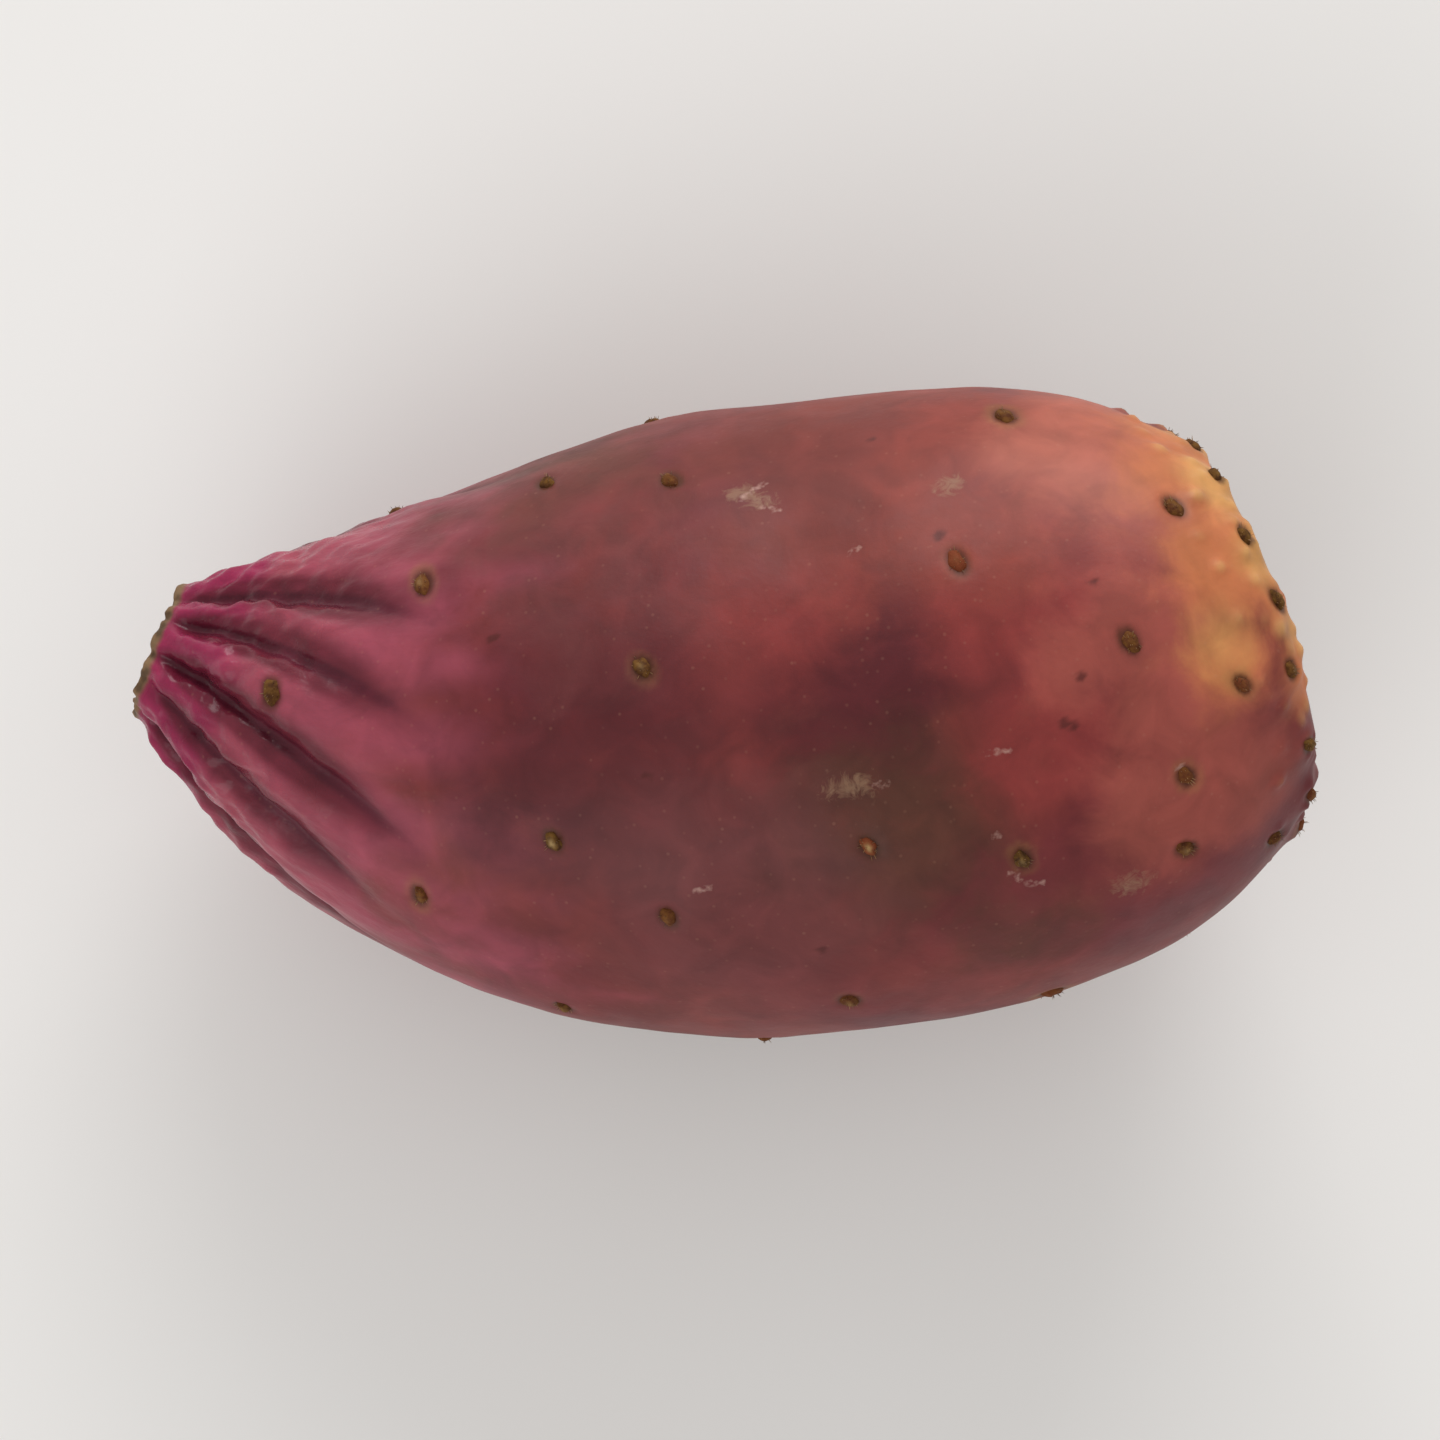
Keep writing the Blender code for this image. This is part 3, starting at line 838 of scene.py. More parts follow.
wax_skin, tree, place = new_material("waxy_cactus_skin")
drift = add(tree, "ShaderNodeTexNoise", {"Vector": place, "Scale": per_metre(DRIFT_SIZE),
                                         "Detail": 3.0})
colour = two_tones(tree, drift, "#66262a", "#78332f")
mottle = add(tree, "ShaderNodeTexNoise", {"Vector": place, "Scale": per_metre(MOTTLE_SIZE),
                                          "Detail": 5.0, "Roughness": 0.6, "Distortion": 0.4})
edge = add(tree, "ShaderNodeMath", {0: mottle.outputs["Fac"], 1: 0.5}, operation="SUBTRACT")
for layer, hex_colour, most, broken in LAYERS:
    mask = add(tree, "ShaderNodeAttribute", attribute_name=layer).outputs["Fac"]
    ragged = add(tree, "ShaderNodeMath", {0: edge.outputs[0], 1: broken, 2: mask},
                 operation="MULTIPLY_ADD")
    inside = add(tree, "ShaderNodeMapRange", {"Value": mask, "From Min": MASK_START[0],
                                              "From Max": MASK_START[1]})
    share = add(tree, "ShaderNodeMapRange", {"Value": ragged.outputs[0], "To Max": most,
                                             "From Min": LAYER_EDGE[0], "From Max": LAYER_EDGE[1]},
                interpolation_type="SMOOTHSTEP")
    kept = add(tree, "ShaderNodeMath", {0: share.outputs[0], 1: inside.outputs[0]},
               operation="MULTIPLY")
    colour = add(tree, "ShaderNodeMix", {0: kept.outputs[0], 6: colour, 7: linear(hex_colour)},
                 data_type="RGBA").outputs[2]
print("colour layers:", len(LAYERS))

# %% [markdown]
# Clouds of 4.5 mm darken and lighten the whole, as the thickness of the wax does. A cactus also
# breathes through pores with a rim of pale wax, 0.2 mm across and under a millimetre apart. They
# show as faint flecks, more in some patches than in others, so only some of them are let through.

# %% Waxy skin: clouds and pores
CLOUD_SIZE = 4.5
PORE_GAP = 0.9
PORE_RIM = (0.08, 0.22)
PORE_SHOWS = 0.13

cloudy = add(tree, "ShaderNodeTexNoise", {"Vector": place, "Scale": per_metre(CLOUD_SIZE),
                                          "Detail": 4.0, "Distortion": 0.8})
cloud_value = add(tree, "ShaderNodeMapRange", {"Value": cloudy.outputs["Fac"], "From Min": 0.3,
                                               "From Max": 0.7, "To Min": 0.82, "To Max": 1.16})
colour = add(tree, "ShaderNodeHueSaturation", {"Value": cloud_value.outputs[0],
                                               "Color": colour}).outputs["Color"]
pores = add(tree, "ShaderNodeTexVoronoi", {"Vector": place, "Scale": per_metre(PORE_GAP)})
fleck = add(tree, "ShaderNodeMapRange", {
    "Value": pores.outputs["Distance"], "From Min": PORE_RIM[0], "From Max": PORE_RIM[1],
    "To Min": PORE_SHOWS, "To Max": 0.0})
chosen = add(tree, "ShaderNodeMapRange", {"Value": pores.outputs["Color"], "From Min": 0.45,
                                          "From Max": 0.9})
patchy = add(tree, "ShaderNodeMath", {0: fleck.outputs[0], 1: chosen.outputs[0]},
             operation="MULTIPLY")
colour = add(tree, "ShaderNodeMix", {0: patchy.outputs[0], 6: colour, 7: linear("#b0806a")},
             data_type="RGBA").outputs[2]
print("pores per square centimetre, about:", round((10.0 / PORE_GAP) ** 2))

# %% [markdown]
# A graze is thin scurf: flakes of 1.3 mm let the skin show between them. A scratch is paler and
# drier, and a grain of 0.5 mm breaks its edge as the skin's cells do. The same pale colour paints
# the three glint dots, which are painted highlights.

# %% Waxy skin: grazes, scratches and painted glints
SCURF_SIZE = 1.3
CELL_GRAIN = 0.5

graze = add(tree, "ShaderNodeAttribute", attribute_name="graze").outputs["Fac"]
scurf = add(tree, "ShaderNodeTexNoise", {"Vector": place, "Scale": per_metre(SCURF_SIZE),
                                         "Detail": 4.0, "Roughness": 0.7, "Distortion": 1.0})
flakes = add(tree, "ShaderNodeMath", {0: scurf.outputs["Fac"], 1: 0.5}, operation="SUBTRACT")
ragged = add(tree, "ShaderNodeMath", {0: flakes.outputs[0], 1: 3.0, 2: graze},
             operation="MULTIPLY_ADD")
flaked = add(tree, "ShaderNodeMapRange", {"Value": ragged.outputs[0], "From Min": 0.45,
                                          "From Max": 1.1, "To Max": 0.5})
inside = add(tree, "ShaderNodeMapRange", {"Value": graze, "From Min": 0.05, "From Max": 0.3})
grazed = add(tree, "ShaderNodeMath", {0: flaked.outputs[0], 1: inside.outputs[0]},
             operation="MULTIPLY")
colour = add(tree, "ShaderNodeMix", {0: grazed.outputs[0], 6: colour, 7: linear("#94745a")},
             data_type="RGBA").outputs[2]
# This mask holds the scratches and the three painted glint dots.
scratch_and_glint = add(tree, "ShaderNodeAttribute", attribute_name="scratch_and_glint").outputs["Fac"]
grain = add(tree, "ShaderNodeTexNoise", {"Vector": place, "Scale": per_metre(CELL_GRAIN),
                                         "Detail": 2.0})
grained = add(tree, "ShaderNodeMath", {0: scratch_and_glint, 1: grain.outputs["Fac"]}, operation="MULTIPLY")
scratch_and_glint_share = add(tree, "ShaderNodeMapRange", {"Value": grained.outputs[0], "From Min": 0.28,
                                             "From Max": 0.6, "To Max": 0.65})
colour = add(tree, "ShaderNodeMix", {0: scratch_and_glint_share.outputs[0], 6: colour, 7: linear("#b99488")},
             data_type="RGBA").outputs[2]
print("skin nodes so far:", len(tree.nodes))

# %% [markdown]
# The wax decides the gloss. Cuticle wax has an IOR of about 1.42. Where it is whole the skin is
# satin, a roughness of 0.58, where it is rubbed it shines, 0.44, and on the tight neck it is
# smoothest; cork is dry and dull. Fine wax grains scatter part of the mirror shine, so the specular
# level is low, and a trace of clear coat gives the soft second highlight. Under the wax some light
# goes into the wet flesh, red furthest, which takes the hard edge off the shading. The quick
# Burley kind of that scattering is enough for so little of it.

# %% Waxy skin: gloss and fine relief
RUBBED_ROUGHNESS = 0.44
WHOLE_ROUGHNESS = 0.58
NECK_SMOOTHER = -0.26
CORK_DULLER = 0.40
SKIN_GRAIN = 0.6
THREAD_WIDTH = 0.9
THREAD_STRETCH = 4.0
FLESH_DEPTH = 1.2

neck_share = add(tree, "ShaderNodeAttribute", attribute_name="neck").outputs["Fac"]
cork_share = add(tree, "ShaderNodeAttribute", attribute_name="cork").outputs["Fac"]
rubbed = add(tree, "ShaderNodeMapRange", {
    "Value": mottle.outputs["Fac"], "From Min": 0.3, "From Max": 0.7,
    "To Min": RUBBED_ROUGHNESS, "To Max": WHOLE_ROUGHNESS})
smoother = add(tree, "ShaderNodeMath", {0: neck_share, 1: NECK_SMOOTHER, 2: rubbed.outputs[0]},
               operation="MULTIPLY_ADD")
gloss = add(tree, "ShaderNodeMath", {0: cork_share, 1: CORK_DULLER, 2: smoother.outputs[0]},
            operation="MULTIPLY_ADD")
fine = add(tree, "ShaderNodeTexNoise", {"Vector": place, "Scale": per_metre(SKIN_GRAIN),
                                        "Detail": 2.0})
unbent = add(tree, "ShaderNodeAttribute", attribute_name="unbent").outputs["Vector"]
lengthwise = add(tree, "ShaderNodeMapping", {"Vector": unbent,
                                             "Scale": (1.0 / THREAD_STRETCH, 1.0, 1.0)})
threads = add(tree, "ShaderNodeTexNoise", {
    "Vector": lengthwise.outputs[0], "Scale": per_metre(THREAD_WIDTH), "Detail": 2.0,
    "Roughness": 0.6})
on_neck = add(tree, "ShaderNodeMath", {0: threads.outputs["Fac"], 1: neck_share},
              operation="MULTIPLY")
height = add(tree, "ShaderNodeMath", {0: fine.outputs["Fac"], 1: 0.2, 2: on_neck.outputs[0]},
             operation="MULTIPLY_ADD")
bump = add(tree, "ShaderNodeBump", {"Height": height.outputs[0], "Strength": 0.5,
                                    "Distance": 0.25 * MM})
surface = add(tree, "ShaderNodeBsdfPrincipled", {
    "Base Color": colour, "Roughness": gloss.outputs[0], "Normal": bump.outputs[0], "IOR": 1.42,
    "Specular IOR Level": 0.26, "Subsurface Weight": 0.1, "Subsurface Radius": (1.0, 0.35, 0.2),
    "Subsurface Scale": FLESH_DEPTH * MM, "Coat Weight": 0.04, "Coat Roughness": 0.2,
    "Coat IOR": 1.4}, subsurface_method="BURLEY")
add(tree, "ShaderNodeOutputMaterial", {"Surface": surface.outputs[0]})
print("skin nodes:", len(tree.nodes))

# %% [markdown]
# A mesh is a list of points and a list of faces that name them by number. Rings of points are
# joined by quads, and a ring is closed to a single point by a fan of triangles. Masks ride along as
# one number for each point, which a material then reads by name.

# %% Helpers for meshes
def add_mesh(name, points, faces, material):
    """A mesh object from points in the fruit's millimetres, moved over the solid."""
    mesh = bpy.data.meshes.new(name)
    mesh.from_pydata(((points + shift) * MM).tolist(), [], faces)
    mesh.shade_smooth()
    mesh.materials.append(material)
    made = bpy.data.objects.new(name, mesh)
    bpy.context.scene.collection.objects.link(made)
    return made


def paint_mask(piece, name, values):
    """Keep one number for each point of a piece, for its material."""
    layer = piece.data.attributes.new(name, "FLOAT", "POINT")
    layer.data.foreach_set("value", np.array(values, dtype=np.float32))


def ring_faces(ring_count, sides, first=0):
    """Quads between rings of points that close on themselves."""
    faces = []
    for ring in range(ring_count - 1):
        for here in range(sides):
            near = first + ring * sides
            after = (here + 1) % sides
            faces.append((near + here, near + sides + here, near + sides + after, near + after))
    return faces


def fan_faces(first, sides, tip):
    """Triangles from a ring of points to one point at its tip."""
    return [(first + here, tip, first + (here + 1) % sides) for here in range(sides)]


print("faces of a small ring and its fan:", len(ring_faces(2, 5)) + len(fan_faces(5, 5, 10)))

# %% [markdown]
# The grid becomes one closed mesh, with a single point at each pole. It also carries where each
# point would lie if the fruit were unbent, so that the neck's threads run lengthwise. It stands for
# the plain solid, which is hidden but kept.

# %% Make the skin
def closed(values):
    """Grid values in the order of the closed mesh's points, with one for each pole."""
    inner = values[1:-1].reshape(-1, *values.shape[2:])
    return np.concatenate([values[:1, 0], inner, values[-1:, 0]])


last = 1 + (ROWS - 2) * COLUMNS
skin_faces = ring_faces(ROWS - 2, COLUMNS, first=1)
skin_faces += [face[::-1] for face in fan_faces(1, COLUMNS, 0)]
skin_faces += fan_faces(last - COLUMNS, COLUMNS, last)
fruit_skin = add_mesh("fruit_skin", closed(skin), skin_faces, wax_skin)
for name, values in masks.items():
    paint_mask(fruit_skin, name, closed(values))
layer = fruit_skin.data.attributes.new("unbent", "FLOAT_VECTOR", "POINT")
layer.data.foreach_set("vector", (closed(straight) * MM).astype(np.float32).ravel())
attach(fruit_skin, "root")
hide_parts(NODE)
print("skin faces:", len(fruit_skin.data.polygons))

# %% [markdown]
# Each areole is a pad of short matted wool, brown as dry moss, rustier on some, and on some with a
# pale middle that is a painted glint of its bristle tuft. Plant hair is cellulose, with an IOR of
# about 1.5, and so matted that it hardly shines: a roughness of 0.9 and a little sheen from loose
# ends. Tufts are half a millimetre across. Single hairs are finer than the render can show, so
# they are drawn 0.15 mm.

# %% Felt of the areoles: material
TUFT_SIZE = 0.5
HAIR_SIZE = 0.15

felt, tree, place = new_material("areole_felt")
tufts = add(tree, "ShaderNodeTexNoise", {"Vector": place, "Scale": per_metre(TUFT_SIZE),
                                         "Detail": 4.0})
colour = two_tones(tree, tufts, "#37200c", "#66481b")
# The first mix paints rust, the second a pale painted glint in the middle of some pads.
for mask_name, hex_colour in (("rust", "#74351d"), ("tuft_glint", "#a98c5e")):
    mask = add(tree, "ShaderNodeAttribute", attribute_name=mask_name).outputs["Fac"]
    colour = add(tree, "ShaderNodeMix", {0: mask, 6: colour, 7: linear(hex_colour)},
                 data_type="RGBA").outputs[2]
surface = add(tree, "ShaderNodeBsdfPrincipled", {
    "Base Color": colour, "Roughness": 0.9, "IOR": 1.5, "Specular IOR Level": 0.2,
    "Normal": rough_to_touch(tree, place, HAIR_SIZE, 2.0, strength=0.8, depth=0.1),
    "Sheen Weight": 0.07, "Sheen Roughness": 0.5, "Sheen Tint": linear("#b08a58")})
add(tree, "ShaderNodeOutputMaterial", {"Surface": surface.outputs[0]})
print("felt nodes:", len(tree.nodes))

# %% [markdown]
# Particle hair would not survive an export, so the felt is real mesh. A pad is a small dome of
# rings with a wavy edge, made lumpy by noise and set in its pit in the skin. Each lump layer is a
# height, a size and a start, as before.

# %% One felt pad
FELT_HEIGHT = 0.55
FELT_SINK = 0.25
FELT_SHARE = 0.94
FELT_RINGS = 8
FELT_SIDES = 22
FELT_LUMPS = ((0.25, 0.8, 5.0), (0.15, 0.35, 8.0))


def areole_foot(grown):
    """Foot of an areole on the finished skin."""
    nearest_point = np.argmin(np.linalg.norm(grid - grown["seat"], axis=-1))
    return skin_list[nearest_point]


def dome_height(share):
    """Height of a felt pad at a share of its half width from its middle."""
    return FELT_HEIGHT * np.sqrt(np.clip(1.0 - share**2, 0.0, 1.0)) - FELT_SINK * share**4


def disc_rings(shares, sides):
    """Share of the radius and angle of each point of a disc's rings."""
    ring, here = np.meshgrid(shares, np.arange(sides), indexing="ij")
    return ring, math.tau * here / sides


def felt_pad(grown, dice):
    """Points of one lumpy dome of felt, from its rim to its middle."""
    ring, turn = disc_rings(np.linspace(1.0, 0.0, FELT_RINGS), FELT_SIDES)
    start = dice.uniform(0.0, math.tau)
    wave = 1.0 + 0.08 * np.sin(3.0 * turn + start) + 0.07 * np.sin(5.0 * turn - 2.0 * start)
    reach = ring * wave * FELT_SHARE * grown["width"] / 2.0
    shortwise = grown["short"] * (grown["oval"] * reach * np.cos(turn))[..., None]
    longwise = grown["long"] * (reach * np.sin(turn))[..., None]
    points = areole_foot(grown) + shortwise + longwise
    lumps = 1.0 + sum(rise * unevenness(points, size, at) for rise, size, at in FELT_LUMPS)
    return points + grown["facing"] * (dome_height(ring) * lumps)[..., None]


print("felt stands, in mm:", dome_height(0.0), "in the middle and", dome_height(1.0), "at its rim")

# %% [markdown]
# All pads become one piece. Two of those that show in the photograph get a painted glint in the
# middle and two are rusty, one of them both. The rest get a little of each by chance.

# %% Make the felt
GLINT_AREOLES = (5, 7)
RUSTY_AREOLES = (2, 5)
GLINT_REACH = 0.35


def disc_values(rings):
    """Values of a disc's rings, from its rim inwards, with one for its middle."""
    return np.concatenate([rings[:-1].reshape(-1, *rings.shape[2:]), rings[-1:, 0]])


def disc_faces(ring_count, sides, first=0):
    """Faces of a disc: quads between its rings and a fan round its middle."""
    tip = first + (ring_count - 1) * sides
    return ring_faces(ring_count - 1, sides, first) + fan_faces(tip - sides, sides, tip)


dice = random.Random(SEED + 3)
pads = [felt_pad(grown, dice) for grown in areoles]
ring, _ = disc_rings(np.linspace(1.0, 0.0, FELT_RINGS), FELT_SIDES)
# Painted highlight: a pale glint that fades out from the middle of a pad.
glint_middle = disc_values(np.exp(-((ring / GLINT_REACH) ** 2)))
felt_points, felt_faces, felt_glint, felt_rust = [], [], [], []
for number, pad in enumerate(pads):
    felt_faces.extend(disc_faces(FELT_RINGS, FELT_SIDES, first=len(felt_points)))
    felt_points.extend(disc_values(pad))
    glint_share = 0.85 if number in GLINT_AREOLES else dice.uniform(0.0, 0.7) ** 3
    rusty = 0.9 if number in RUSTY_AREOLES else dice.uniform(0.0, 0.6)
    felt_glint.extend(glint_share * glint_middle)
    felt_rust.extend([rusty] * len(glint_middle))
areole_felt = add_mesh("areole_felt", np.array(felt_points), felt_faces, felt)
paint_mask(areole_felt, "tuft_glint", felt_glint)
paint_mask(areole_felt, "rust", felt_rust)
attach(areole_felt, "root")
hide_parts(NODE)
print("felt pads:", len(pads), "faces:", len(felt_faces))

# %% [markdown]
# Glochids are the areole's barbed bristles, finer than a hair. They are dead, woody plant hair: IOR
# 1.5, neither shiny nor dull, straw to rust brown from one to the next. A noise of 1 mm, about the
# gap between them, gives each its own tone.

# %% Glochids: material
GLOCHID_GAP = 1.0

straw, tree, place = new_material("dry_glochid_straw")
shade = add(tree, "ShaderNodeTexNoise", {"Vector": place, "Scale": per_metre(GLOCHID_GAP),
                                         "Detail": 2.0})
colour = two_tones(tree, shade, "#52321a", "#977043")
surface = add(tree, "ShaderNodeBsdfPrincipled", {"Base Color": colour, "Roughness": 0.5,
                                                 "IOR": 1.5})
add(tree, "ShaderNodeOutputMaterial", {"Surface": surface.outputs[0]})
print("glochid nodes:", len(tree.nodes))

# %% [markdown]
# Sold fruit is brushed, so only short stubs are left. Each is a three-sided spike that leans
# outwards from its pad. They are drawn 0.07 mm thick, a little more than real, so that they show.

# %% Make the glochids
BRISTLES = (7, 14)
BRISTLE_LENGTH = (0.2, 0.55)
BRISTLE_RADIUS = 0.035
BRISTLE_SIDES = 3
BRISTLES_WITHIN = 0.85
BRISTLE_ROOT = 0.08


def spike(root, direction, length, thick):
    """Points of a three-sided spike: a ring at its root, a ring half way and its tip."""
    direction = direction / np.linalg.norm(direction)
    aside = np.cross(direction, (0.3, 0.9, 0.2))
    aside = aside / np.linalg.norm(aside)
    other = np.cross(direction, aside)
    points = []
    for share, size in ((0.0, 1.0), (0.6, 0.8)):
        for corner in range(BRISTLE_SIDES):
            turn = math.tau * corner / BRISTLE_SIDES
            offset = aside * math.cos(turn) + other * math.sin(turn)
            points.append(root + direction * length * share + offset * thick * size)
    points.append(root + direction * length)
    return points


bristle_points, bristle_faces = [], []
for grown in areoles:
    foot, up = areole_foot(grown), grown["facing"]
    for _ in range(dice.randint(*BRISTLES)):
        share = math.sqrt(dice.random()) * BRISTLES_WITHIN
        turn = dice.uniform(0.0, math.tau)
        outward = grown["short"] * grown["oval"] * math.cos(turn) + grown["long"] * math.sin(turn)
        rooted = up * (dome_height(share) - BRISTLE_ROOT)
        root = foot + outward * share * grown["width"] / 2.0 + rooted
        lean = outward * (0.25 + share) + up * dice.uniform(0.5, 1.1)
        faces = disc_faces(3, BRISTLE_SIDES, first=len(bristle_points))
        bristle_faces.extend(face[::-1] for face in faces)
        bristle_points.extend(spike(root, lean, dice.uniform(*BRISTLE_LENGTH), BRISTLE_RADIUS))
glochids = add_mesh("glochids", np.array(bristle_points), bristle_faces, straw)
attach(glochids, "root")
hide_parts(NODE)
print("glochids:", len(bristle_points) // (2 * BRISTLE_SIDES + 1))

# %% [markdown]
# A picked fruit is twisted off its pad, and the wound dries to cork in a day or two. The flower
# drops too and leaves a dry disc. Cork is dead cell wall full of air: IOR 1.5, roughness 0.85 and
# pale where it is whole. Its splits and pits are painted darker as painted shade, and its callus
# edge and raised rings are darker in their own tone. Its flakes are 1.4 mm across and its grit
# 0.25 mm.

# %% Dry scars: material
FLAKE_SIZE = 1.4
GRIT_SIZE = 0.25

cork, tree, place = new_material("dry_scar_cork")
flakes = add(tree, "ShaderNodeTexNoise", {"Vector": place, "Scale": per_metre(FLAKE_SIZE),
                                          "Detail": 5.0, "Roughness": 0.65})
colour = two_tones(tree, flakes, "#4f3626", "#a5855c", start=0.32, end=0.62)
# Painted shade in the crust's splits and pits, with the darker own tone of its edge and rings.
dark_share = add(tree, "ShaderNodeAttribute", attribute_name="ring").outputs["Fac"]
colour = add(tree, "ShaderNodeMix", {0: dark_share, 6: colour, 7: linear("#3c2619")},
             data_type="RGBA").outputs[2]
surface = add(tree, "ShaderNodeBsdfPrincipled", {
    "Base Color": colour, "Roughness": 0.85, "IOR": 1.5,
    "Normal": rough_to_touch(tree, place, GRIT_SIZE, 3.0, strength=0.7, depth=0.15)})
add(tree, "ShaderNodeOutputMaterial", {"Surface": surface.outputs[0]})
print("cork nodes:", len(tree.nodes))

# %% [markdown]
# Both scars are crusts: thin uneven discs that follow the hollow under them and dive below its skin
# at their edge. Raised rings show where petals or the stem's layers stood, splits run outwards, and
# a ring of small pits marks the broken bundles that once fed the flower.

# %% The shape of a crust
CORK_RINGS = 44
CORK_SIDES = 128
CRUST_THICK = 0.34
CRUST_GRAIN = ((0.20, 1.6, 0.0), (0.12, 0.6, 3.0))
RING_RISE = 0.18
RING_SPREAD = 0.32
SPLIT_DEPTH = 0.2
SPLIT_SHARPNESS = 40
BUNDLE_DEPTH = 0.22
BUNDLE_RING = (0.55, 0.09)
EDGE_DIVE = (0.84, 1.2)
DARK_EDGE = (0.72, 0.95)


def crust_shape(curve, half_width, facing, ring_radii, bundles, start):
    """Points of a crust over a hollow, from its middle outwards, and how dark each of them is."""
    ring, turn = disc_rings(np.linspace(0.0, 1.0, CORK_RINGS), CORK_SIDES)
    reach = ring * half_width * (1.0 + 0.05 * np.sin(3.0 * turn + 1.0) + 0.03 * np.sin(7.0 * turn))
    inwards = np.argsort(curve[:, 1])
    points = skin_point(np.interp(reach, curve[inwards, 1], curve[inwards, 0]), reach, turn)
    _, forward, _ = spine(np.float64(LENGTH if facing > 0 else 0.0))
    thick = CRUST_THICK
    for rise, size, shifted in CRUST_GRAIN:
        thick = thick + rise * unevenness(points, size, start + shifted)
    rings = sum(np.exp(-(((reach - ring_radius) / RING_SPREAD) ** 2)) for ring_radius in ring_radii)
    jitter = 2.0 * unevenness(points, 4.0, start + 9.0)
    splits = np.abs(np.cos(0.5 * bundles * turn + 1.6 * jitter)) ** SPLIT_SHARPNESS
    splits *= ramp(ring, 0.15, 0.45) * (0.6 + 0.5 * unevenness(points, 2.0, start + 6.0))
    pits = np.clip(np.cos(bundles * turn + jitter), 0.0, 1.0) ** 4
    pits *= np.exp(-(((ring - BUNDLE_RING[0]) / BUNDLE_RING[1]) ** 2))
    thick += RING_RISE * rings - SPLIT_DEPTH * splits - BUNDLE_DEPTH * pits
    thick -= EDGE_DIVE[1] * ramp(ring, EDGE_DIVE[0], 1.0)
    # Painted shade in the splits and pits; the edge and the raised rings are darker as their own
    # tone.
    dark = 0.5 * splits + 0.2 * rings + 0.6 * pits + 0.45 * ramp(ring, *DARK_EDGE)
    return points + facing * (forward @ PITCH.T) * thick[..., None], np.clip(dark, 0.0, 1.0)


print("crust edges dive, in mm:", round(EDGE_DIVE[1] - CRUST_THICK, 2))

# %% [markdown]
# The stem scar faces back and has one ring near its edge. The flower's disc faces forwards, in the
# dish, with a ring round the style and one where the petals stood.

# %% Make the two scars
def crust(name, curve, half_width, facing, ring_radii, bundles, start):
    """A thin dry disc over a hollow of the fruit."""
    points, dark = crust_shape(curve, half_width, facing, ring_radii, bundles, start)
    faces = disc_faces(CORK_RINGS, CORK_SIDES)
    if facing < 0:
        faces = [face[::-1] for face in faces]
    made = add_mesh(name, disc_values(points[::-1]), faces, cork)
    paint_mask(made, "ring", disc_values(dark[::-1]))
    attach(made, "root")
    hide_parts(NODE)
    return made


stem_curve = outline[:SCAR_RIM_POINT * SPAN_STEPS + 1]
dish_curve = outline[(CREST_POINT + 1) * SPAN_STEPS:]
stem_scar = crust("stem_scar", stem_curve, 5.0, -1, (3.9,), 9, 21.0)
flower_scar = crust("flower_scar", dish_curve, 8.0, 1, (1.8, 6.6), 17, 31.0)
for made in (stem_scar, flower_scar):
    print(made.name, "faces:", len(made.data.polygons))

# %% [markdown]
# The floor is a plain pale board that runs far past the view. Matt board has no gloss at all, so
# the plain diffuse shader does for it. It only has a trace of mottling, 60 mm across, so that it
# reads as a surface and takes a soft shadow.

# %% Floor
FLOOR_HALF = 3.0
FLOOR_TONE = 60.0

board, tree, place = new_material("matt_white_board")
tone = add(tree, "ShaderNodeTexNoise", {"Vector": place, "Scale": per_metre(FLOOR_TONE),
                                        "Detail": 2.0})
colour = add(tree, "ShaderNodeMix", {0: tone.outputs["Fac"], 6: linear("#e6e4e1"),
                                     7: linear("#ecebe9")}, data_type="RGBA").outputs[2]
surface = add(tree, "ShaderNodeBsdfDiffuse", {"Color": colour})
add(tree, "ShaderNodeOutputMaterial", {"Surface": surface.outputs[0]})
mesh = bpy.data.meshes.new("floor")
corners = [(x * FLOOR_HALF, y * FLOOR_HALF, 0.0) for x, y in ((-1, -1), (1, -1), (1, 1), (-1, 1))]
mesh.from_pydata(corners, [], [(0, 1, 2, 3)])
mesh.materials.append(board)
floor_board = bpy.data.objects.new("floor", mesh)
bpy.context.scene.collection.objects.link(floor_board)
floor_board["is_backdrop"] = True
print("floor, in m:", 2.0 * FLOOR_HALF, "square")

# %% [markdown]
# Plain soft studio light. A large panel stands low beyond the upper edge of the picture, as the
# light falls in the photograph, a weaker one on the opposite side fills the shadow, and an even
# white surround lights the rest.

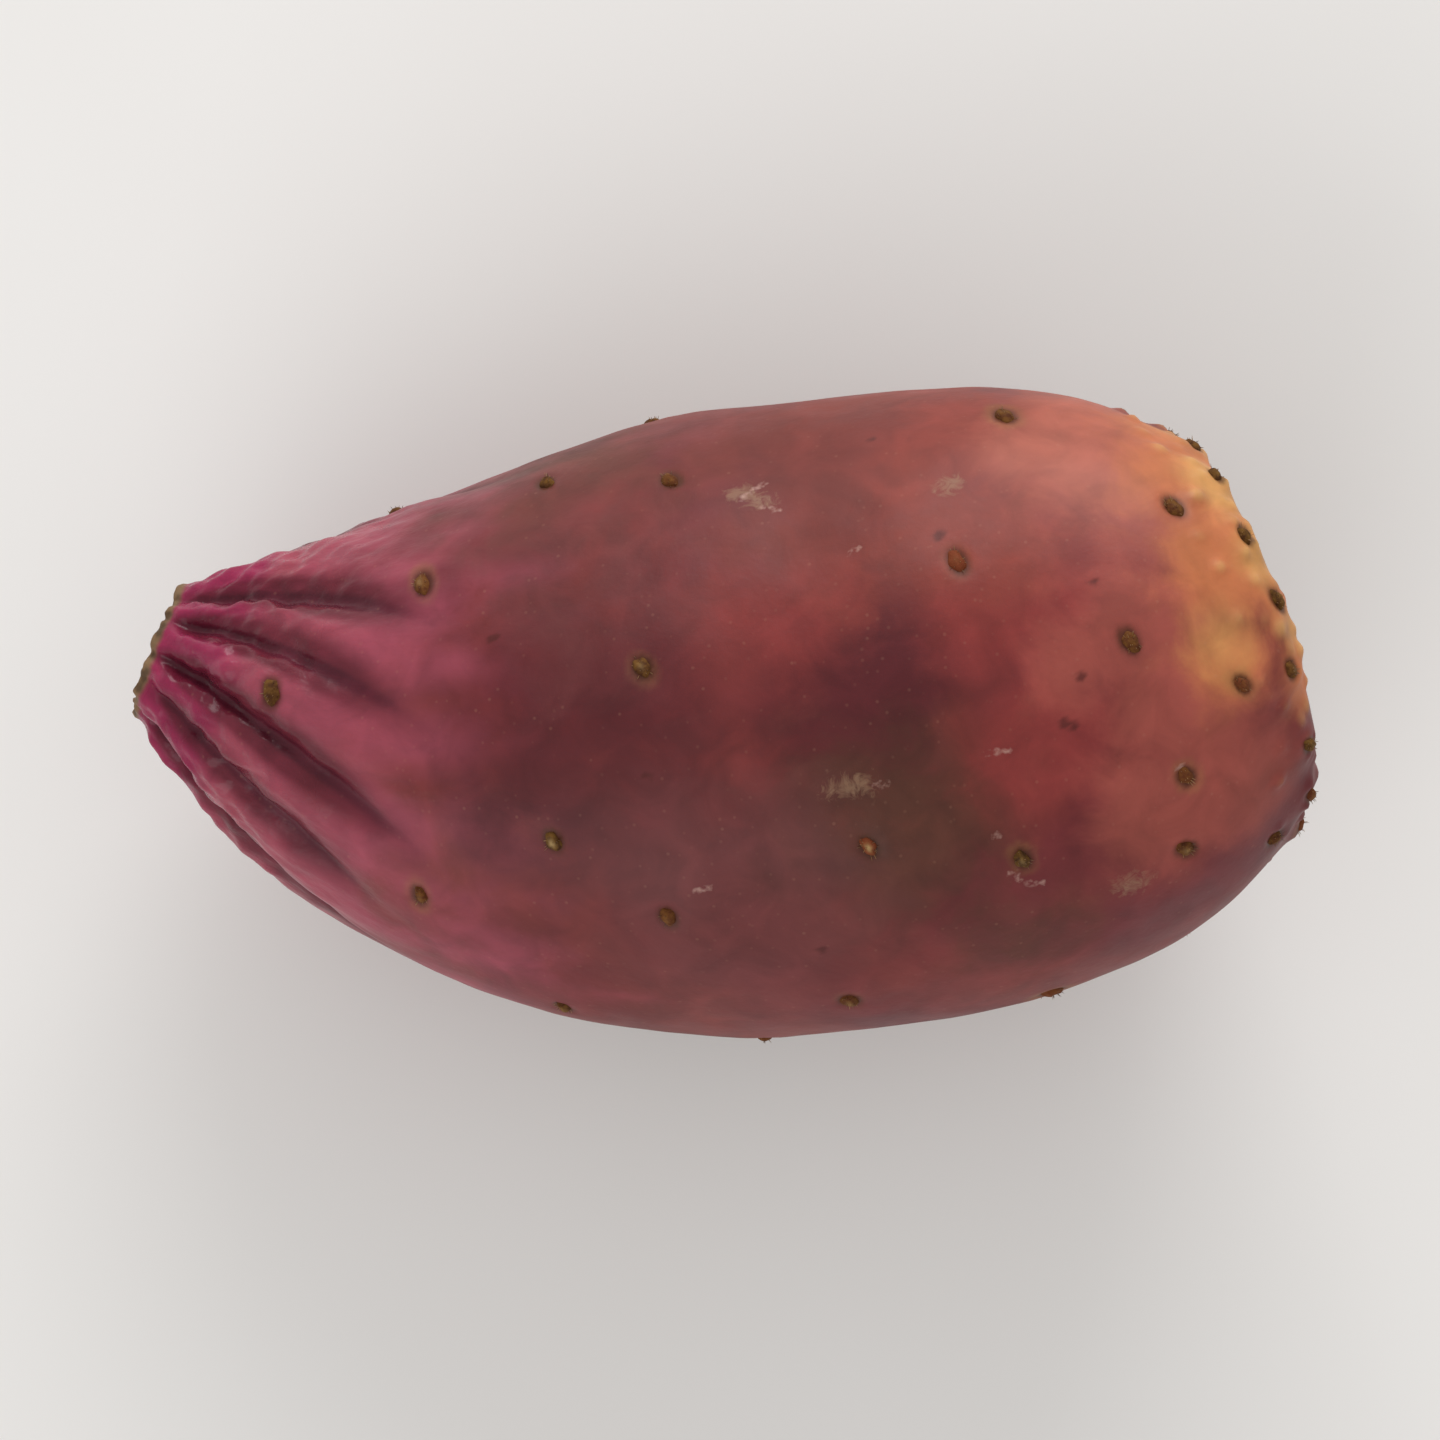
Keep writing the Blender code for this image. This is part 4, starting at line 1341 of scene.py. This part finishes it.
# %% Light
PANEL_AIM = (0.0, 0.0, 0.02)
SURROUND_STRENGTH = 0.69


def soft_panel(name, place, size, power):
    """A square area light that faces the fruit."""
    panel = bpy.data.lights.new(name, "AREA")
    panel.shape = "SQUARE"
    panel.size = size
    panel.energy = power
    lamp = bpy.data.objects.new(name, panel)
    lamp.location = place
    lamp.rotation_euler = (Vector(PANEL_AIM) - Vector(place)).to_track_quat("-Z", "Y").to_euler()
    bpy.context.scene.collection.objects.link(lamp)


soft_panel("key_panel", place=(0.10, 0.72, 0.30), size=0.50, power=4.5)
soft_panel("fill_panel", place=(-0.35, -0.50, 0.45), size=0.60, power=1.8)
surround = bpy.data.worlds.new("white_surround")
surround.use_nodes = True
background = surround.node_tree.nodes["Background"]
background.inputs["Color"].default_value = linear("#f4f3f2")
background.inputs["Strength"].default_value = SURROUND_STRENGTH
bpy.context.scene.world = surround
bpy.context.scene.view_settings.view_transform = "Standard"

# %% [markdown]
# The photograph looks straight down through a long lens. The camera does too, and is rolled a
# little so that the fruit lies at the same slant in the picture. Its height follows from the width
# that it has to take in, half way up the fruit.

# %% Camera
LENS = 300.0
SENSOR = 36.0
VIEW_WIDTH = 0.122
ROLL = math.radians(-2.8)

camera_data = bpy.data.cameras.new("camera")
camera_data.lens = LENS
camera_data.sensor_width = SENSOR
camera = bpy.data.objects.new("camera", camera_data)
half_height = (cad_box[1][2] + cad_box[0][2]) / 2.0
camera.location = (0.0, 0.0, half_height + VIEW_WIDTH * LENS / SENSOR)
camera.rotation_euler = (0.0, 0.0, ROLL)
bpy.context.scene.collection.objects.link(camera)
bpy.context.scene.camera = camera
print("camera height, in mm:", round(camera.location.z / MM))

# %% [markdown]
# Last, the size of what shows is kept beside the size of the solid, and both are printed.

# %% Sizes and finish
shown_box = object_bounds()
sizes = {"cad": [list(corner) for corner in cad_box],
         "shown": [list(corner) for corner in shown_box]}
for name, (start, end) in sizes.items():
    print(name, "box, in mm:", [round((b - a) / MM, 2) for a, b in zip(start, end)])
